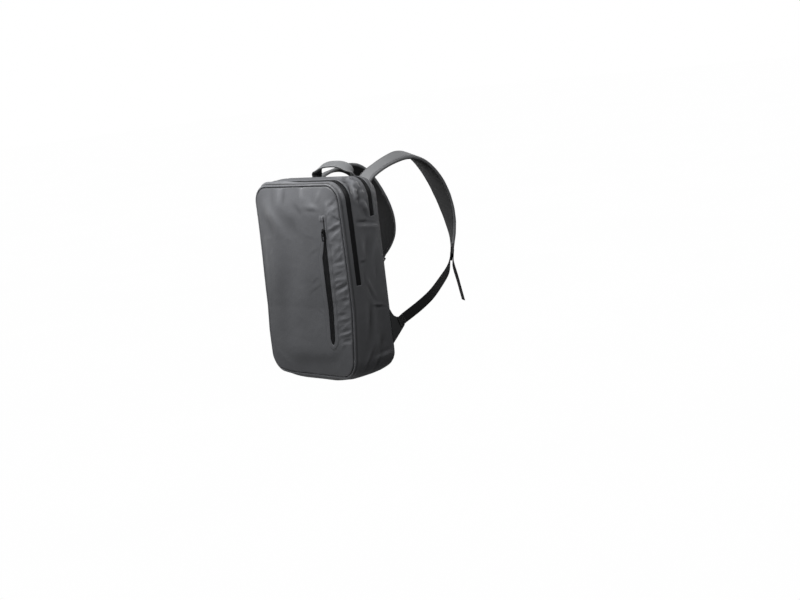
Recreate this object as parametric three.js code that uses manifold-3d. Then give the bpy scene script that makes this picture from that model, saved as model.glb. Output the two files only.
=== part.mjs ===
// A zipped dry bag backpack of coated cloth, in the form it has when it is worn: a flat rounded pack,
// two padded shoulder straps that arch forward, and webbing that runs back from the straps to the pack.
// Millimetres, +Z up. The pack's front faces -Y, and its back panel and straps lie towards +Y.

import * as THREE from "three";
import { mergeVertices } from "three/addons/utils/BufferGeometryUtils.js";
import Module from "manifold-3d";

const wasm = await Module();
wasm.setup();

// Driving dimensions of the pack
const BAG_WIDTH = 290;
const BAG_HEIGHT = 444;
const BAG_DEPTH = 110;
const CORNER_RADIUS = 42;
const WALL = 2;
const GAP = 0.3;
const GUSSET_CROWN = 6;
const CROWN_POWER = 3;
const SEAM_HOLD_POWER = 6;
const FRONT_SWELL = 5;
const FLANK_RISE = 12;
const FLANK_WIDTH = 26;
const FRONT_BOW = 3;
const BASE_KICK = 16;
const KICK_START = -60;
const KICK_CURVE = 1.15;
const LEFT_SLUMP = { height: -60, reach: 150, forward: 7.5 };
const PIPING_RADIUS = 2.7;
const PIPING_SEAT = 0.82;
const BACK_PAD = 12;
const BACK_RIM = 6;
const BACK_ROLL = 12;
const BACK_INSET = 1;

// Zips: the tape's width, how far it is sunk, and where each one runs
const ZIP_WIDTH = 13;
const ZIP_TAPE = 1.4;
const ZIP_SUNK = 0.4;
const ZIP_SIDE_GAP = 0.42;
const ZIP_CUT_REACH = 12;
const MAIN_ZIP = { depth: 19.5, endHeight: -11 };
const LAPTOP_ZIP = { depth: 88, endHeight: 136 };
const FRONT_SLIDER = { x: 95, height: 116 };
const MAIN_SLIDER_HEIGHT = 1;
const LAPTOP_SLIDER_HEIGHT = 150;

// Slider and pull
const SLIDER = {
  width: 9, length: 13, lift: 0.85, body: 2.6, bridgeWidth: 2.4, bridgeReach: 4, bridgeBar: 1.2,
};
const SLIDER_NOSE = 2;
const SLIDER_TAIL = { taper: 1.4, chamfer: 1.2, rise: 1 };
const BRIDGE_SHOULDER = { low: 0.6, high: 1.6 };
const BRIDGE_ROOT = 0.4;
const HINGE_ROOM = 1.5;
const BRIDGE_WINDOW = 2;
const PULL = { width: 9, thick: 1.4, reach: 22, bar: 0.8 };
const PULL_CHAMFER = { top: 1, foot: 2 };
const PULL_WINDOW = { half: 2.3, eyeEnd: 7.2, gripTop: 10, gripEnd: 18 };

// Handle, straps, webbing and buckles
const HANDLE = { halfSpan: 61, foot: 205, spring: 214, crown: 251.5, width: 24, thick: 3, lining: 1.6 };
const HANDLE_SQUARENESS = 0.8;
const HANDLE_TWIST_POWER = 10;
const HANDLE_TIP = THREE.MathUtils.degToRad(25);
const HANDLE_TANGENT_STEP = 0.01;
const STRAP_EDGE = { inset: 4, share: 0.45 };
const LOOP_WIDTH = 26;
const WEBBING_WIDTH = 25;
const WEBBING_THICK = 1.8;
const WEBBING_TAIL = 95;
const TAIL_FALL = { x: 0.1, y: 0.12, z: -0.97 };
const TAIL_LEAVES = { beyond: 14, lift: 1 };
const WEBBING_PLAY = 0.45;
const BAR_BEND = 0.72;
const LOCK = { halfWidth: 17.5, length: 33, thick: 4, rail: 3.2 };
const LOCK_LIP = { across: 3, down: 2 };
const LOCK_BARS = [
  { name: "top", from: 3, to: 7 },
  { name: "middle", from: 16, to: 20 },
  { name: "lip", from: 28, to: 33 },
];

// Where the straps are carried, measured from the middle of the pack's front seam. The pack hangs a little
// aslant, so its left strap is carried lower than the right one
const SHOULDER_FORWARD = 247;
const SHOULDER_RISE = 237;
const SHOULDER_DROP = 24;

// Resolution of the faceted surfaces
const PIPING_SIDES = 6;
const FRONT_COLUMNS = [
  -1, -0.985, -0.95, -0.9, -0.83, -0.66, -0.42, -0.16, 0.1, 0.34, 0.54, 0.64, 0.73, 0.83, 0.9, 0.95, 0.985, 1,
];
const FRONT_ROWS = { corner: 5, side: 26 };
const BACK_ROWS = { corner: 4, side: 6 };
const GUSSET_ROWS = [0, 0.07, 0.24, 0.42, 0.6, 0.78, 0.93, 1];
const STRAP_STEPS = 2;
const RIB_STEPS = 2;
const BACK_COLUMNS = [-1, -0.98, -0.95, -0.91, -0.5, 0, 0.5, 0.91, 0.95, 0.98, 1];
const HANDLE_STEPS = 24;
const HANDLE_COLUMNS = 2;
const ZIP_STEP = 22;

// The front pocket's mouth: its left and right lips at each height. The left lip closes over to the top.
const FRONT_MOUTH = [
  { height: 147, left: 98.4, right: 99.8 },
  { height: 133, left: 97, right: 99.5 },
  { height: 101, left: 93, right: 98.9 },
  { height: 77, left: 87.5, right: 98.4 },
  { height: 55, left: 80.2, right: 97.9 },
  { height: -13, left: 79.8, right: 96.6 },
  { height: -129, left: 80.6, right: 94.8 },
  { height: -138, left: 83.2, right: 92.6 },
  { height: -142, left: 86.2, right: 89.8 },
];

// Soft folds on the front panel: middle, half-length and half-width, height, and lean from level
const FRONT_FOLDS = [
  { x: -86, z: 120, long: 120, wide: 26, height: 1.8, lean: 82 },
  { x: -30, z: 60, long: 110, wide: 30, height: -1.6, lean: 78 },
  { x: 30, z: 96, long: 90, wide: 22, height: 1.4, lean: 96 },
  { x: -60, z: -120, long: 70, wide: 34, height: -1.8, lean: 20 },
  { x: 20, z: -176, long: 90, wide: 16, height: 1.6, lean: 4 },
  { x: 104, z: -168, long: 46, wide: 14, height: -1.8, lean: 38 },
];

// Gathers in the strip between the front zip and the piping, one below another
const GATHERS = { x: 116, top: 122, pitch: 31, count: 8, long: 17, wide: 9, height: 1.6, lean: 8 };

// Folds on the gusset's right side, mirrored on its left: height on the side, depth from the front seam
const SIDE_FOLDS = [
  { z: 176, depth: 62, long: 34, wide: 9, height: -3.2, lean: 52 },
  { z: 150, depth: 44, long: 30, wide: 8, height: 2.2, lean: 60 },
  { z: 118, depth: 66, long: 46, wide: 10, height: -2.4, lean: 74 },
  { z: 40, depth: 60, long: 70, wide: 16, height: -2.6, lean: 88 },
  { z: -60, depth: 40, long: 62, wide: 11, height: 2.0, lean: 84 },
  { z: -84, depth: 74, long: 74, wide: 12, height: -2.6, lean: 98 },
  { z: -152, depth: 52, long: 40, wide: 10, height: 1.8, lean: 76 },
];

// Right shoulder strap, from its seam on the back panel over the shoulder to the loop that holds the buckle.
// tilt turns the outer face from the pack's side (0) to the top (90) and the front (180); turn, outwards.
// carry is the share of the left strap's drop that a section takes.
const STRAP_SECTIONS = [
  { x: 78, y: 125.6, z: 139, width: 44, thick: 6, tilt: 0, turn: 0, carry: 0 },
  { x: 80, y: 126.8, z: 173, width: 44, thick: 8, tilt: 2, turn: 0, carry: 0 },
  { x: 84, y: 131, z: 199, width: 44, thick: 9, tilt: 20, turn: 0, carry: 0.1 },
  { x: 89.5, y: 146, z: 219, width: 45, thick: 9, tilt: 50, turn: 3, carry: 0.3 },
  { x: 98, y: 176, z: 236, width: 43, thick: 9, tilt: 62, turn: 8, carry: 0.65 },
  { x: 104, y: 212, z: 248, width: 46, thick: 9, tilt: 74, turn: 13, carry: 0.95 },
  { x: 106, y: 247, z: 253, width: 52, thick: 9, tilt: 88, turn: 16, carry: 1 },
  { x: 106, y: 278, z: 248, width: 58, thick: 9, tilt: 106, turn: 16, carry: 1 },
  { x: 106, y: 305, z: 233, width: 62, thick: 9, tilt: 124, turn: 13, carry: 1 },
  { x: 107, y: 329, z: 209, width: 62, thick: 9, tilt: 138, turn: 9, carry: 1 },
  { x: 107, y: 351, z: 179, width: 61, thick: 9, tilt: 149, turn: 6, carry: 1 },
  { x: 106, y: 370, z: 143, width: 58, thick: 9, tilt: 160, turn: 5, carry: 1 },
  { x: 107, y: 382, z: 105, width: 53, thick: 9, tilt: 171, turn: 9, carry: 1 },
  { x: 111, y: 385, z: 69, width: 45, thick: 9, tilt: 180, turn: 18, carry: 1 },
  { x: 118, y: 379, z: 41, width: 35, thick: 9, tilt: 186, turn: 30, carry: 1 },
  { x: 124, y: 369, z: 21, width: LOOP_WIDTH, thick: 8, tilt: 190, turn: 38, carry: 1 },
  { x: 129, y: 360, z: 8, width: LOOP_WIDTH, thick: 8, tilt: 192, turn: 44, carry: 1 },
];

// Right webbing between the buckle and the wing, curved as it is when worn, with the same columns
const RIB_SECTIONS = [
  { x: 149, y: 318, z: -30, tilt: 188, turn: 60, carry: 0.8 },
  { x: 159, y: 276, z: -53, tilt: 184, turn: 74, carry: 0.6 },
  { x: 163, y: 234, z: -76, tilt: 180, turn: 84, carry: 0.4 },
  { x: 159, y: 196, z: -94, tilt: 180, turn: 94, carry: 0.2 },
  { x: 152, y: 168, z: -107, tilt: 180, turn: 97, carry: 0.06 },
  { x: 148, y: 151, z: -114.5, tilt: 180, turn: 93, carry: 0 },
  { x: 147.6, y: 134, z: -122, tilt: 180, turn: 90, carry: 0 },
];

// Outline of a wing, from the seam to the webbing: depth behind the back seam, and height
const WING_OUTLINE = [
  { reach: 0, z: -85 },
  { reach: 5, z: -95 },
  { reach: 11, z: -102.5 },
  { reach: 19, z: -107 },
  { reach: 31, z: -108.5 },
  { reach: 42, z: -130 },
  { reach: 24, z: -145 },
  { reach: 0, z: -164 },
];

const CORNER_X = BAG_WIDTH / 2 - CORNER_RADIUS;
const CORNER_Z = BAG_HEIGHT / 2 - CORNER_RADIUS;
const CORNER_ARC = (Math.PI / 2) * CORNER_RADIUS;
const GIRTH = 4 * (CORNER_X + CORNER_Z + CORNER_ARC);

// Half the rim, from the middle of the base to the middle of the top, and how finely each stretch is cut
const RIM_STRETCHES = [
  { name: "base", length: CORNER_X, steps: 5 },
  { name: "lower corner", length: CORNER_ARC, steps: 7 },
  { name: "side", length: 2 * CORNER_Z, steps: 16 },
  { name: "upper corner", length: CORNER_ARC, steps: 7 },
  { name: "top", length: CORNER_X, steps: 5 },
];

const coatedGrey = { color: 0x878b91, roughness: 0.45, metalness: 0 };
const lightGrey = { color: 0x9a9ca1, roughness: 0.6, metalness: 0 };
const darkMesh = { color: 0x2a2b2d, roughness: 0.85, metalness: 0 };
const zipBlack = { color: 0x1b1c1e, roughness: 0.6, metalness: 0 };
const pullBlack = { color: 0x141416, roughness: 0.35, metalness: 0.2 };
const webbingBlack = { color: 0x1d1d1f, roughness: 0.8, metalness: 0 };

function degrees(angle) {
  return THREE.MathUtils.degToRad(angle);
}

// A shape made by this file is closed by its triangles alone, so its faces only need to point out
function solidFrom(positions, triangles) {
  let volume = 0;
  const corner = [0, 1, 2].map(() => new THREE.Vector3());
  for (let t = 0; t < triangles.length; t += 3) {
    corner.forEach((point, k) => point.fromArray(positions, triangles[t + k] * 3));
    volume += corner[0].dot(corner[1].clone().cross(corner[2]));
  }
  if (volume < 0) triangles.reverse();
  const geometry = new THREE.BufferGeometry();
  geometry.setAttribute("position", new THREE.Float32BufferAttribute(positions, 3));
  geometry.setIndex(triangles);
  return geometry;
}

// A wall between two surfaces given over one grid of rows and columns; a ring's columns meet at the ends
function wallBetween(rows, columns, ring, outer, inner) {
  const positions = [];
  const triangles = [];
  const sheets = [outer, inner];
  const across = ring ? columns : columns + 1;
  for (const sheet of sheets) {
    for (let row = 0; row <= rows; row += 1) {
      for (let column = 0; column < across; column += 1) positions.push(...sheet(row, column));
    }
  }
  const at = (sheet, row, column) => (sheet * (rows + 1) + row) * across + (column % across);
  const quad = (a, b, c, d) => triangles.push(a, b, c, a, c, d);
  for (let row = 0; row < rows; row += 1) {
    for (let column = 0; column < columns; column += 1) {
      quad(at(0, row, column), at(0, row, column + 1), at(0, row + 1, column + 1), at(0, row + 1, column));
      quad(at(1, row, column), at(1, row + 1, column), at(1, row + 1, column + 1), at(1, row, column + 1));
    }
  }
  for (let column = 0; column < columns; column += 1) {
    quad(at(0, 0, column), at(1, 0, column), at(1, 0, column + 1), at(0, 0, column + 1));
    quad(at(0, rows, column), at(0, rows, column + 1), at(1, rows, column + 1), at(1, rows, column));
  }
  for (let row = 0; row < rows && !ring; row += 1) {
    quad(at(0, row, 0), at(0, row + 1, 0), at(1, row + 1, 0), at(1, row, 0));
    quad(at(0, row, columns), at(1, row, columns), at(1, row + 1, columns), at(0, row + 1, columns));
  }
  return solidFrom(positions, triangles);
}

// A solid through a row of like loops; a ring joins the last loop to the first, else both ends are capped
function loft(loops, ring) {
  const sides = loops[0].length;
  const positions = loops.flat().flatMap((point) => point.toArray());
  const triangles = [];
  const bays = ring ? loops.length : loops.length - 1;
  for (let bay = 0; bay < bays; bay += 1) {
    const next = (bay + 1) % loops.length;
    for (let side = 0; side < sides; side += 1) {
      const beside = (side + 1) % sides;
      const [a, b] = [bay * sides + side, bay * sides + beside];
      const [c, d] = [next * sides + beside, next * sides + side];
      triangles.push(a, b, c, a, c, d);
    }
  }
  const last = (loops.length - 1) * sides;
  for (let side = 1; side < sides - 1 && !ring; side += 1) {
    triangles.push(0, side + 1, side);
    triangles.push(last, last + side, last + side + 1);
  }
  return solidFrom(positions, triangles);
}

function manifoldOf(geometry) {
  const bare = geometry.clone();
  bare.deleteAttribute("normal");
  bare.deleteAttribute("uv");
  const merged = mergeVertices(bare, 1e-4);
  const mesh = new wasm.Mesh({
    numProp: 3,
    vertProperties: new Float32Array(merged.attributes.position.array),
    triVerts: new Uint32Array(merged.index.array),
  });
  return new wasm.Manifold(mesh);
}

function geometryOf(solid) {
  const mesh = solid.getMesh();
  const geometry = new THREE.BufferGeometry();
  geometry.setAttribute("position", new THREE.BufferAttribute(new Float32Array(mesh.vertProperties), 3));
  geometry.setIndex(new THREE.BufferAttribute(new Uint32Array(mesh.triVerts), 1));
  return geometry;
}

function cut(geometry, ...cutters) {
  const whole = cutters.reduce((solid, cutter) => solid.subtract(manifoldOf(cutter)), manifoldOf(geometry));
  return geometryOf(whole);
}

function join(first, second) {
  return geometryOf(manifoldOf(first).add(manifoldOf(second)));
}

function piece(name, geometry, finish) {
  geometry.computeVertexNormals();
  const mesh = new THREE.Mesh(geometry, new THREE.MeshStandardMaterial(finish));
  mesh.name = name;
  return mesh;
}

// The rounded rectangle that the pack's front and back share: the place and the way out at a distance
// along it from the middle of the base, up the right side first
function rimAt(along) {
  const left = along > GIRTH / 2;
  const hand = left ? -1 : 1;
  let rest = left ? GIRTH - along : along;
  const spot = (x, z, outX, outZ) => ({ x: hand * x, z, outX: hand * outX, outZ });
  const bend = (angle, centreZ) => spot(
    CORNER_X + CORNER_RADIUS * Math.cos(angle), centreZ + CORNER_RADIUS * Math.sin(angle),
    Math.cos(angle), Math.sin(angle));
  if (rest < CORNER_X) return spot(rest, -BAG_HEIGHT / 2, 0, -1);
  rest -= CORNER_X;
  if (rest < CORNER_ARC) return bend(rest / CORNER_RADIUS - Math.PI / 2, -CORNER_Z);
  rest -= CORNER_ARC;
  if (rest < 2 * CORNER_Z) return spot(BAG_WIDTH / 2, rest - CORNER_Z, 1, 0);
  rest -= 2 * CORNER_Z;
  if (rest < CORNER_ARC) return bend(rest / CORNER_RADIUS, CORNER_Z);
  return spot(CORNER_X - (rest - CORNER_ARC), BAG_HEIGHT / 2, 0, 1);
}

// Distances along the whole rim at which round pieces have a section
function rimSections() {
  const right = [];
  let start = 0;
  for (const stretch of RIM_STRETCHES) {
    const stride = stretch.length / stretch.steps;
    for (let step = 0; step < stretch.steps; step += 1) right.push(start + stride * step);
    start += stretch.length;
  }
  const left = right.slice(1).reverse().map((along) => GIRTH - along);
  return [...right, GIRTH / 2, ...left];
}

// Distance along the rim of a height on the right side
function alongAtHeight(height) {
  return CORNER_X + CORNER_ARC + CORNER_Z + height;
}

function foldHeight(fold, across, up) {
  const lean = degrees(fold.lean);
  const lengthwise = (across * Math.cos(lean) + up * Math.sin(lean)) / fold.long;
  const sideways = (up * Math.cos(lean) - across * Math.sin(lean)) / fold.wide;
  return fold.height * Math.exp(-lengthwise * lengthwise - sideways * sideways);
}

// Depth of the front seam: the worn pack hollows along the spine, its base kicks forward, its left slumps
function frontSeam(x, z) {
  const share = z / (BAG_HEIGHT / 2);
  const kick = Math.max(0, KICK_START - z) / (KICK_START + BAG_HEIGHT / 2);
  const below = (z - LEFT_SLUMP.height) / LEFT_SLUMP.reach;
  const slump = LEFT_SLUMP.forward * Math.exp(-below * below) * (0.5 - x / BAG_WIDTH);
  return FRONT_BOW * (1 - share * share) - BASE_KICK * kick ** KICK_CURVE - slump;
}

// A point of the gusset's outer face, sunk by some millimetres, at a distance along the rim and a depth
function gussetPoint(along, depth, sunk) {
  const rim = rimAt(along);
  const middle = Math.abs(2 * depth / BAG_DEPTH - 1);
  const rimHeight = Math.min(along, GIRTH - along) - alongAtHeight(0);
  let out = GUSSET_CROWN * (1 - Math.min(1, middle) ** CROWN_POWER) - sunk;
  const hold = 1 - Math.min(1, middle) ** SEAM_HOLD_POWER;
  for (const fold of SIDE_FOLDS) out += hold * foldHeight(fold, depth - fold.depth, rimHeight - fold.z);
  const shifted = depth + frontSeam(rim.x, rim.z) * (1 - depth / BAG_DEPTH);
  return [rim.x + rim.outX * out, shifted, rim.z + rim.outZ * out];
}

// A strip of the gusset between two distances along the rim and two depths, from one level to another
function gussetStrip(from, to, front, back, level, thick) {
  const between = rimSections().filter((along) => along > from + 1 && along < to - 1);
  const stations = [from, ...between, to];
  const depths = [front, back];
  return wallBetween(1, stations.length - 1, false,
    (row, column) => gussetPoint(stations[column], depths[row], level),
    (row, column) => gussetPoint(stations[column], depths[row], level + thick));
}

function zipSlit(zip) {
  const from = alongAtHeight(zip.endHeight);
  const half = ZIP_WIDTH / 2;
  const [front, back] = [zip.depth - half, zip.depth + half];
  return gussetStrip(from, GIRTH - from, front, back, -ZIP_CUT_REACH, 2 * ZIP_CUT_REACH);
}

function zipTape(zip) {
  const from = alongAtHeight(zip.endHeight) + GAP;
  const half = ZIP_WIDTH / 2 - GAP;
  return gussetStrip(from, GIRTH - from, zip.depth - half, zip.depth + half, ZIP_SUNK, ZIP_TAPE);
}

function gusset() {
  const front = PIPING_SEAT * PIPING_RADIUS;
  const rows = GUSSET_ROWS.map((share) => front + share * (BAG_DEPTH - front));
  const along = rimSections();
  const band = wallBetween(rows.length - 1, along.length, true,
    (row, column) => gussetPoint(along[column], rows[row], 0),
    (row, column) => gussetPoint(along[column], rows[row], WALL));
  return cut(band, zipSlit(MAIN_ZIP), zipSlit(LAPTOP_ZIP));
}

function piping() {
  const loops = [];
  for (const along of rimSections()) {
    const rim = rimAt(along);
    const loop = [];
    for (let side = 0; side < PIPING_SIDES; side += 1) {
      const angle = (side + 0.5) * 2 * Math.PI / PIPING_SIDES;
      const out = PIPING_RADIUS * (Math.cos(angle) - 1);
      const y = frontSeam(rim.x, rim.z) + PIPING_RADIUS * Math.sin(angle);
      loop.push(new THREE.Vector3(rim.x + rim.outX * out, y, rim.z + rim.outZ * out));
    }
    loops.push(loop);
  }
  return loft(loops, true);
}

// Rows of a rounded panel: close together round its corners, even between them
function panelRows(inset, count) {
  const radius = CORNER_RADIUS - inset;
  const rows = [];
  for (let row = 0; row < count.corner; row += 1) {
    const angle = degrees(-90 + 90 * row / count.corner);
    rows.push({ z: -CORNER_Z + radius * Math.sin(angle), half: CORNER_X + radius * Math.cos(angle) });
  }
  for (let row = 0; row <= count.side; row += 1) {
    rows.push({ z: THREE.MathUtils.lerp(-CORNER_Z, CORNER_Z, row / count.side), half: CORNER_X + radius });
  }
  const corner = rows.slice(0, count.corner).reverse();
  for (const { z, half } of corner) rows.push({ z: -z, half });
  return rows;
}

const FRONT_INSET = 2 * PIPING_RADIUS + GAP;

// How far inside the rounded rim, drawn in by an inset, a point of the front or back lies
function insideRim(x, z, inset) {
  const beyondX = Math.abs(x) - CORNER_X;
  const beyondZ = Math.abs(z) - CORNER_Z;
  const corner = Math.hypot(Math.max(beyondX, 0), Math.max(beyondZ, 0));
  const straight = Math.min(Math.max(beyondX, beyondZ), 0);
  return Math.max(0, CORNER_RADIUS - inset - corner - straight);
}

// The front panel's middle, as a depth: it swells, with a rolled flank at its seam and folds that end there
function frontFace(x, z) {
  const inside = insideRim(x, z, FRONT_INSET);
  const flank = 1 - Math.min(1, inside / FLANK_WIDTH);
  const shareX = x / (BAG_WIDTH / 2);
  const shareZ = z / (BAG_HEIGHT / 2);
  let out = FRONT_SWELL * (1 - shareX * shareX) * (1 - shareZ * shareZ);
  for (const fold of FRONT_FOLDS) out += foldHeight(fold, x - fold.x, z - fold.z);
  for (let row = 0; row < GATHERS.count; row += 1) {
    out += foldHeight(GATHERS, x - GATHERS.x, z - GATHERS.top + row * GATHERS.pitch);
  }
  const hold = Math.sqrt(1 - flank * flank);
  return frontSeam(x, z) - hold * (FLANK_RISE + out);
}

function frontMouth() {
  const right = FRONT_MOUTH.map((row) => new THREE.Vector2(row.right, row.height));
  const left = FRONT_MOUTH.map((row) => new THREE.Vector2(row.left, row.height));
  const slab = new THREE.ExtrudeGeometry(new THREE.Shape([...right, ...left.reverse()]), {
    depth: BAG_DEPTH, bevelEnabled: false,
  });
  slab.rotateX(Math.PI / 2);
  return slab.translate(0, BAG_DEPTH / 2, 0);
}

function frontPanel() {
  const rows = panelRows(FRONT_INSET, FRONT_ROWS);
  const place = (row, column, sunk) => {
    const x = rows[row].half * FRONT_COLUMNS[column];
    return [x, frontFace(x, rows[row].z) + sunk, rows[row].z];
  };
  const sheet = wallBetween(rows.length - 1, FRONT_COLUMNS.length - 1, false,
    (row, column) => place(row, column, -WALL / 2),
    (row, column) => place(row, column, WALL / 2));
  return cut(sheet, frontMouth());
}

function frontZipTape() {
  const rows = [];
  for (let row = 0; row < FRONT_MOUTH.length - 1; row += 1) {
    const [upper, lower] = [FRONT_MOUTH[row], FRONT_MOUTH[row + 1]];
    const steps = Math.max(1, Math.round((upper.height - lower.height) / ZIP_STEP));
    for (let step = 0; step < steps; step += 1) {
      const blend = (column) => THREE.MathUtils.lerp(upper[column], lower[column], step / steps);
      rows.push({ z: blend("height"), left: blend("left"), right: blend("right") });
    }
  }
  const last = FRONT_MOUTH[FRONT_MOUTH.length - 1];
  rows.push({ z: last.height, left: last.left, right: last.right });
  rows[0].z -= GAP;
  rows[rows.length - 1].z += GAP;
  const place = (row, column, sunk) => {
    const { z, left, right } = rows[row];
    const x = THREE.MathUtils.lerp(left + ZIP_SIDE_GAP, right - ZIP_SIDE_GAP, column);
    return [x, frontFace(x, z) - WALL / 2 + sunk, z];
  };
  return wallBetween(rows.length - 1, 1, false,
    (row, column) => place(row, column, ZIP_SUNK),
    (row, column) => place(row, column, ZIP_SUNK + ZIP_TAPE));
}

// The pad is full thickness a little way in from its edge, and rolls off to a thin sewn rim
function backPanel() {
  const rows = panelRows(BACK_INSET, BACK_ROWS);
  const place = (row, column) => [rows[row].half * BACK_COLUMNS[column], rows[row].z];
  const thickness = (x, z) => {
    const roll = Math.min(1, insideRim(x, z, BACK_INSET) / BACK_ROLL);
    return BACK_RIM + (BACK_PAD - BACK_RIM) * Math.sin(roll * Math.PI / 2);
  };
  return wallBetween(rows.length - 1, BACK_COLUMNS.length - 1, false,
    (row, column) => {
      const [x, z] = place(row, column);
      return [x, BAG_DEPTH + GAP + thickness(x, z), z];
    },
    (row, column) => {
      const [x, z] = place(row, column);
      return [x, BAG_DEPTH + GAP, z];
    });
}

// A zip slider stands on the tape with its hinge bar at the origin, the tape behind it at +Y
const HINGE_LIFT = SLIDER.lift + SLIDER.body + HINGE_ROOM;

function slider() {
  const half = SLIDER.width / 2;
  const end = SLIDER.length / 2;
  const tail = half - SLIDER_TAIL.taper;
  const plan = new THREE.Shape([
    new THREE.Vector2(-half, end - SLIDER_NOSE), new THREE.Vector2(SLIDER_NOSE - half, end),
    new THREE.Vector2(half - SLIDER_NOSE, end), new THREE.Vector2(half, end - SLIDER_NOSE),
    new THREE.Vector2(tail, SLIDER_TAIL.rise - end), new THREE.Vector2(tail - SLIDER_TAIL.chamfer, -end),
    new THREE.Vector2(SLIDER_TAIL.chamfer - tail, -end), new THREE.Vector2(-tail, SLIDER_TAIL.rise - end),
  ]);
  const body = new THREE.ExtrudeGeometry(plan, { depth: SLIDER.body, bevelEnabled: false });
  body.rotateX(Math.PI / 2);
  body.translate(0, HINGE_ROOM + SLIDER.body, 0);
  const foot = HINGE_ROOM + BRIDGE_ROOT;
  const top = -HINGE_ROOM;
  const reach = SLIDER.bridgeReach;
  const arch = new THREE.Shape([
    new THREE.Vector2(-foot, -reach), new THREE.Vector2(-foot, -BRIDGE_WINDOW),
    new THREE.Vector2(-top, -BRIDGE_WINDOW), new THREE.Vector2(-top, BRIDGE_WINDOW),
    new THREE.Vector2(-foot, BRIDGE_WINDOW), new THREE.Vector2(-foot, reach),
    new THREE.Vector2(-top, reach - BRIDGE_SHOULDER.low),
    new THREE.Vector2(SLIDER.bridgeBar - top, reach - BRIDGE_SHOULDER.high),
    new THREE.Vector2(SLIDER.bridgeBar - top, BRIDGE_SHOULDER.high - reach),
    new THREE.Vector2(-top, BRIDGE_SHOULDER.low - reach),
  ]);
  const bridge = new THREE.ExtrudeGeometry(arch, { depth: SLIDER.bridgeWidth, bevelEnabled: false });
  bridge.translate(0, 0, -SLIDER.bridgeWidth / 2);
  const turned = new THREE.Matrix4().makeBasis(
    new THREE.Vector3(0, -1, 0), new THREE.Vector3(0, 0, 1), new THREE.Vector3(-1, 0, 0));
  bridge.applyMatrix4(turned);
  return join(body, bridge);
}

// The pull: a thin plate with an eye for the slider's bridge and a window to grip by, hanging from the origin
function pull() {
  const half = PULL.width / 2;
  const { top, foot } = PULL_CHAMFER;
  const plan = new THREE.Shape([
    new THREE.Vector2(top - half, PULL.bar), new THREE.Vector2(half - top, PULL.bar),
    new THREE.Vector2(half, -top), new THREE.Vector2(half, foot - PULL.reach),
    new THREE.Vector2(half - foot, -PULL.reach), new THREE.Vector2(foot - half, -PULL.reach),
    new THREE.Vector2(-half, foot - PULL.reach), new THREE.Vector2(-half, -top),
  ]);
  const window = (halfWidth, from, to) => new THREE.Path([
    new THREE.Vector2(-halfWidth, -from), new THREE.Vector2(-halfWidth, -to),
    new THREE.Vector2(halfWidth, -to), new THREE.Vector2(halfWidth, -from),
  ]);
  plan.holes.push(window(PULL_WINDOW.half, PULL.bar, PULL_WINDOW.eyeEnd));
  plan.holes.push(window(PULL_WINDOW.half, PULL_WINDOW.gripTop, PULL_WINDOW.gripEnd));
  const plate = new THREE.ExtrudeGeometry(plan, { depth: PULL.thick, bevelEnabled: false });
  plate.rotateX(Math.PI / 2);
  plate.translate(0, PULL.thick / 2, 0);
  return plate;
}

// One zip's slider and pull, standing on a point of its tape; out is away from the tape, up is along it
function sliderAssembly(zipName, point, out, up) {
  const group = new THREE.Group();
  const inward = out.clone().negate();
  const turn = new THREE.Matrix4().makeBasis(inward.clone().cross(up), inward, up);
  group.setRotationFromMatrix(turn);
  group.position.copy(point).addScaledVector(out, HINGE_LIFT);
  group.add(piece(`${zipName}_slider`, slider(), pullBlack));
  group.add(piece(`${zipName}_pull`, pull(), pullBlack));
  return group;
}

function outerFace(section) {
  const tilt = degrees(section.tilt);
  const turn = degrees(section.turn);
  return new THREE.Vector3(
    Math.sin(turn), -Math.cos(tilt) * Math.cos(turn), Math.sin(tilt) * Math.cos(turn));
}

// Even stations on a smooth line through a table of sections, each with its directions and sizes
function stationsThrough(sections, perBay) {
  const line = new THREE.CatmullRomCurve3(sections.map((row) => new THREE.Vector3(row.x, row.y, row.z)));
  const bays = sections.length - 1;
  const stations = [];
  for (let step = 0; step <= bays * perBay; step += 1) {
    const place = step / (bays * perBay);
    const bay = Math.min(bays - 1, Math.floor(step / perBay));
    const share = step / perBay - bay;
    const blend = (column) => THREE.MathUtils.lerp(sections[bay][column], sections[bay + 1][column], share);
    const along = line.getTangent(place);
    const face = outerFace({ tilt: blend("tilt"), turn: blend("turn") });
    face.addScaledVector(along, -face.dot(along)).normalize();
    const across = along.clone().cross(face);
    stations.push({
      point: line.getPoint(place), along, face, across, width: blend("width"), thick: blend("thick"),
    });
  }
  return stations;
}

// A padded strap's section: flat faces, round edges
function padLoop(station) {
  const half = station.width / 2;
  const thick = station.thick / 2;
  const flat = half - STRAP_EDGE.inset;
  const edge = thick * STRAP_EDGE.share;
  const corners = [
    [flat, thick], [half, edge], [half, -edge], [flat, -thick],
    [-flat, -thick], [-half, -edge], [-half, edge], [-flat, thick],
  ];
  return corners.map(([across, out]) => station.point.clone()
    .addScaledVector(station.across, across)
    .addScaledVector(station.face, out));
}

function bandLoop(point, across, face) {
  const corner = (side, level) => point.clone()
    .addScaledVector(across, side * WEBBING_WIDTH / 2)
    .addScaledVector(face, level * WEBBING_THICK / 2);
  return [corner(1, -1), corner(1, 1), corner(-1, 1), corner(-1, -1)];
}

// The sections of a side whose strap is carried lower by a drop
function dropped(sections, drop) {
  return sections.map((row) => ({ ...row, z: row.z - drop * row.carry }));
}

// Buckle frame: x across the strap, y down it and z out of its face, from a little above the strap's end
const LOOP_SETBACK = 11;

function lockPlace(strapEnd) {
  const basis = new THREE.Matrix4().makeBasis(
    strapEnd.across.clone(), strapEnd.along.clone(), strapEnd.face.clone());
  basis.setPosition(strapEnd.point.clone().addScaledVector(strapEnd.along, -LOOP_SETBACK));
  return basis;
}

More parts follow.
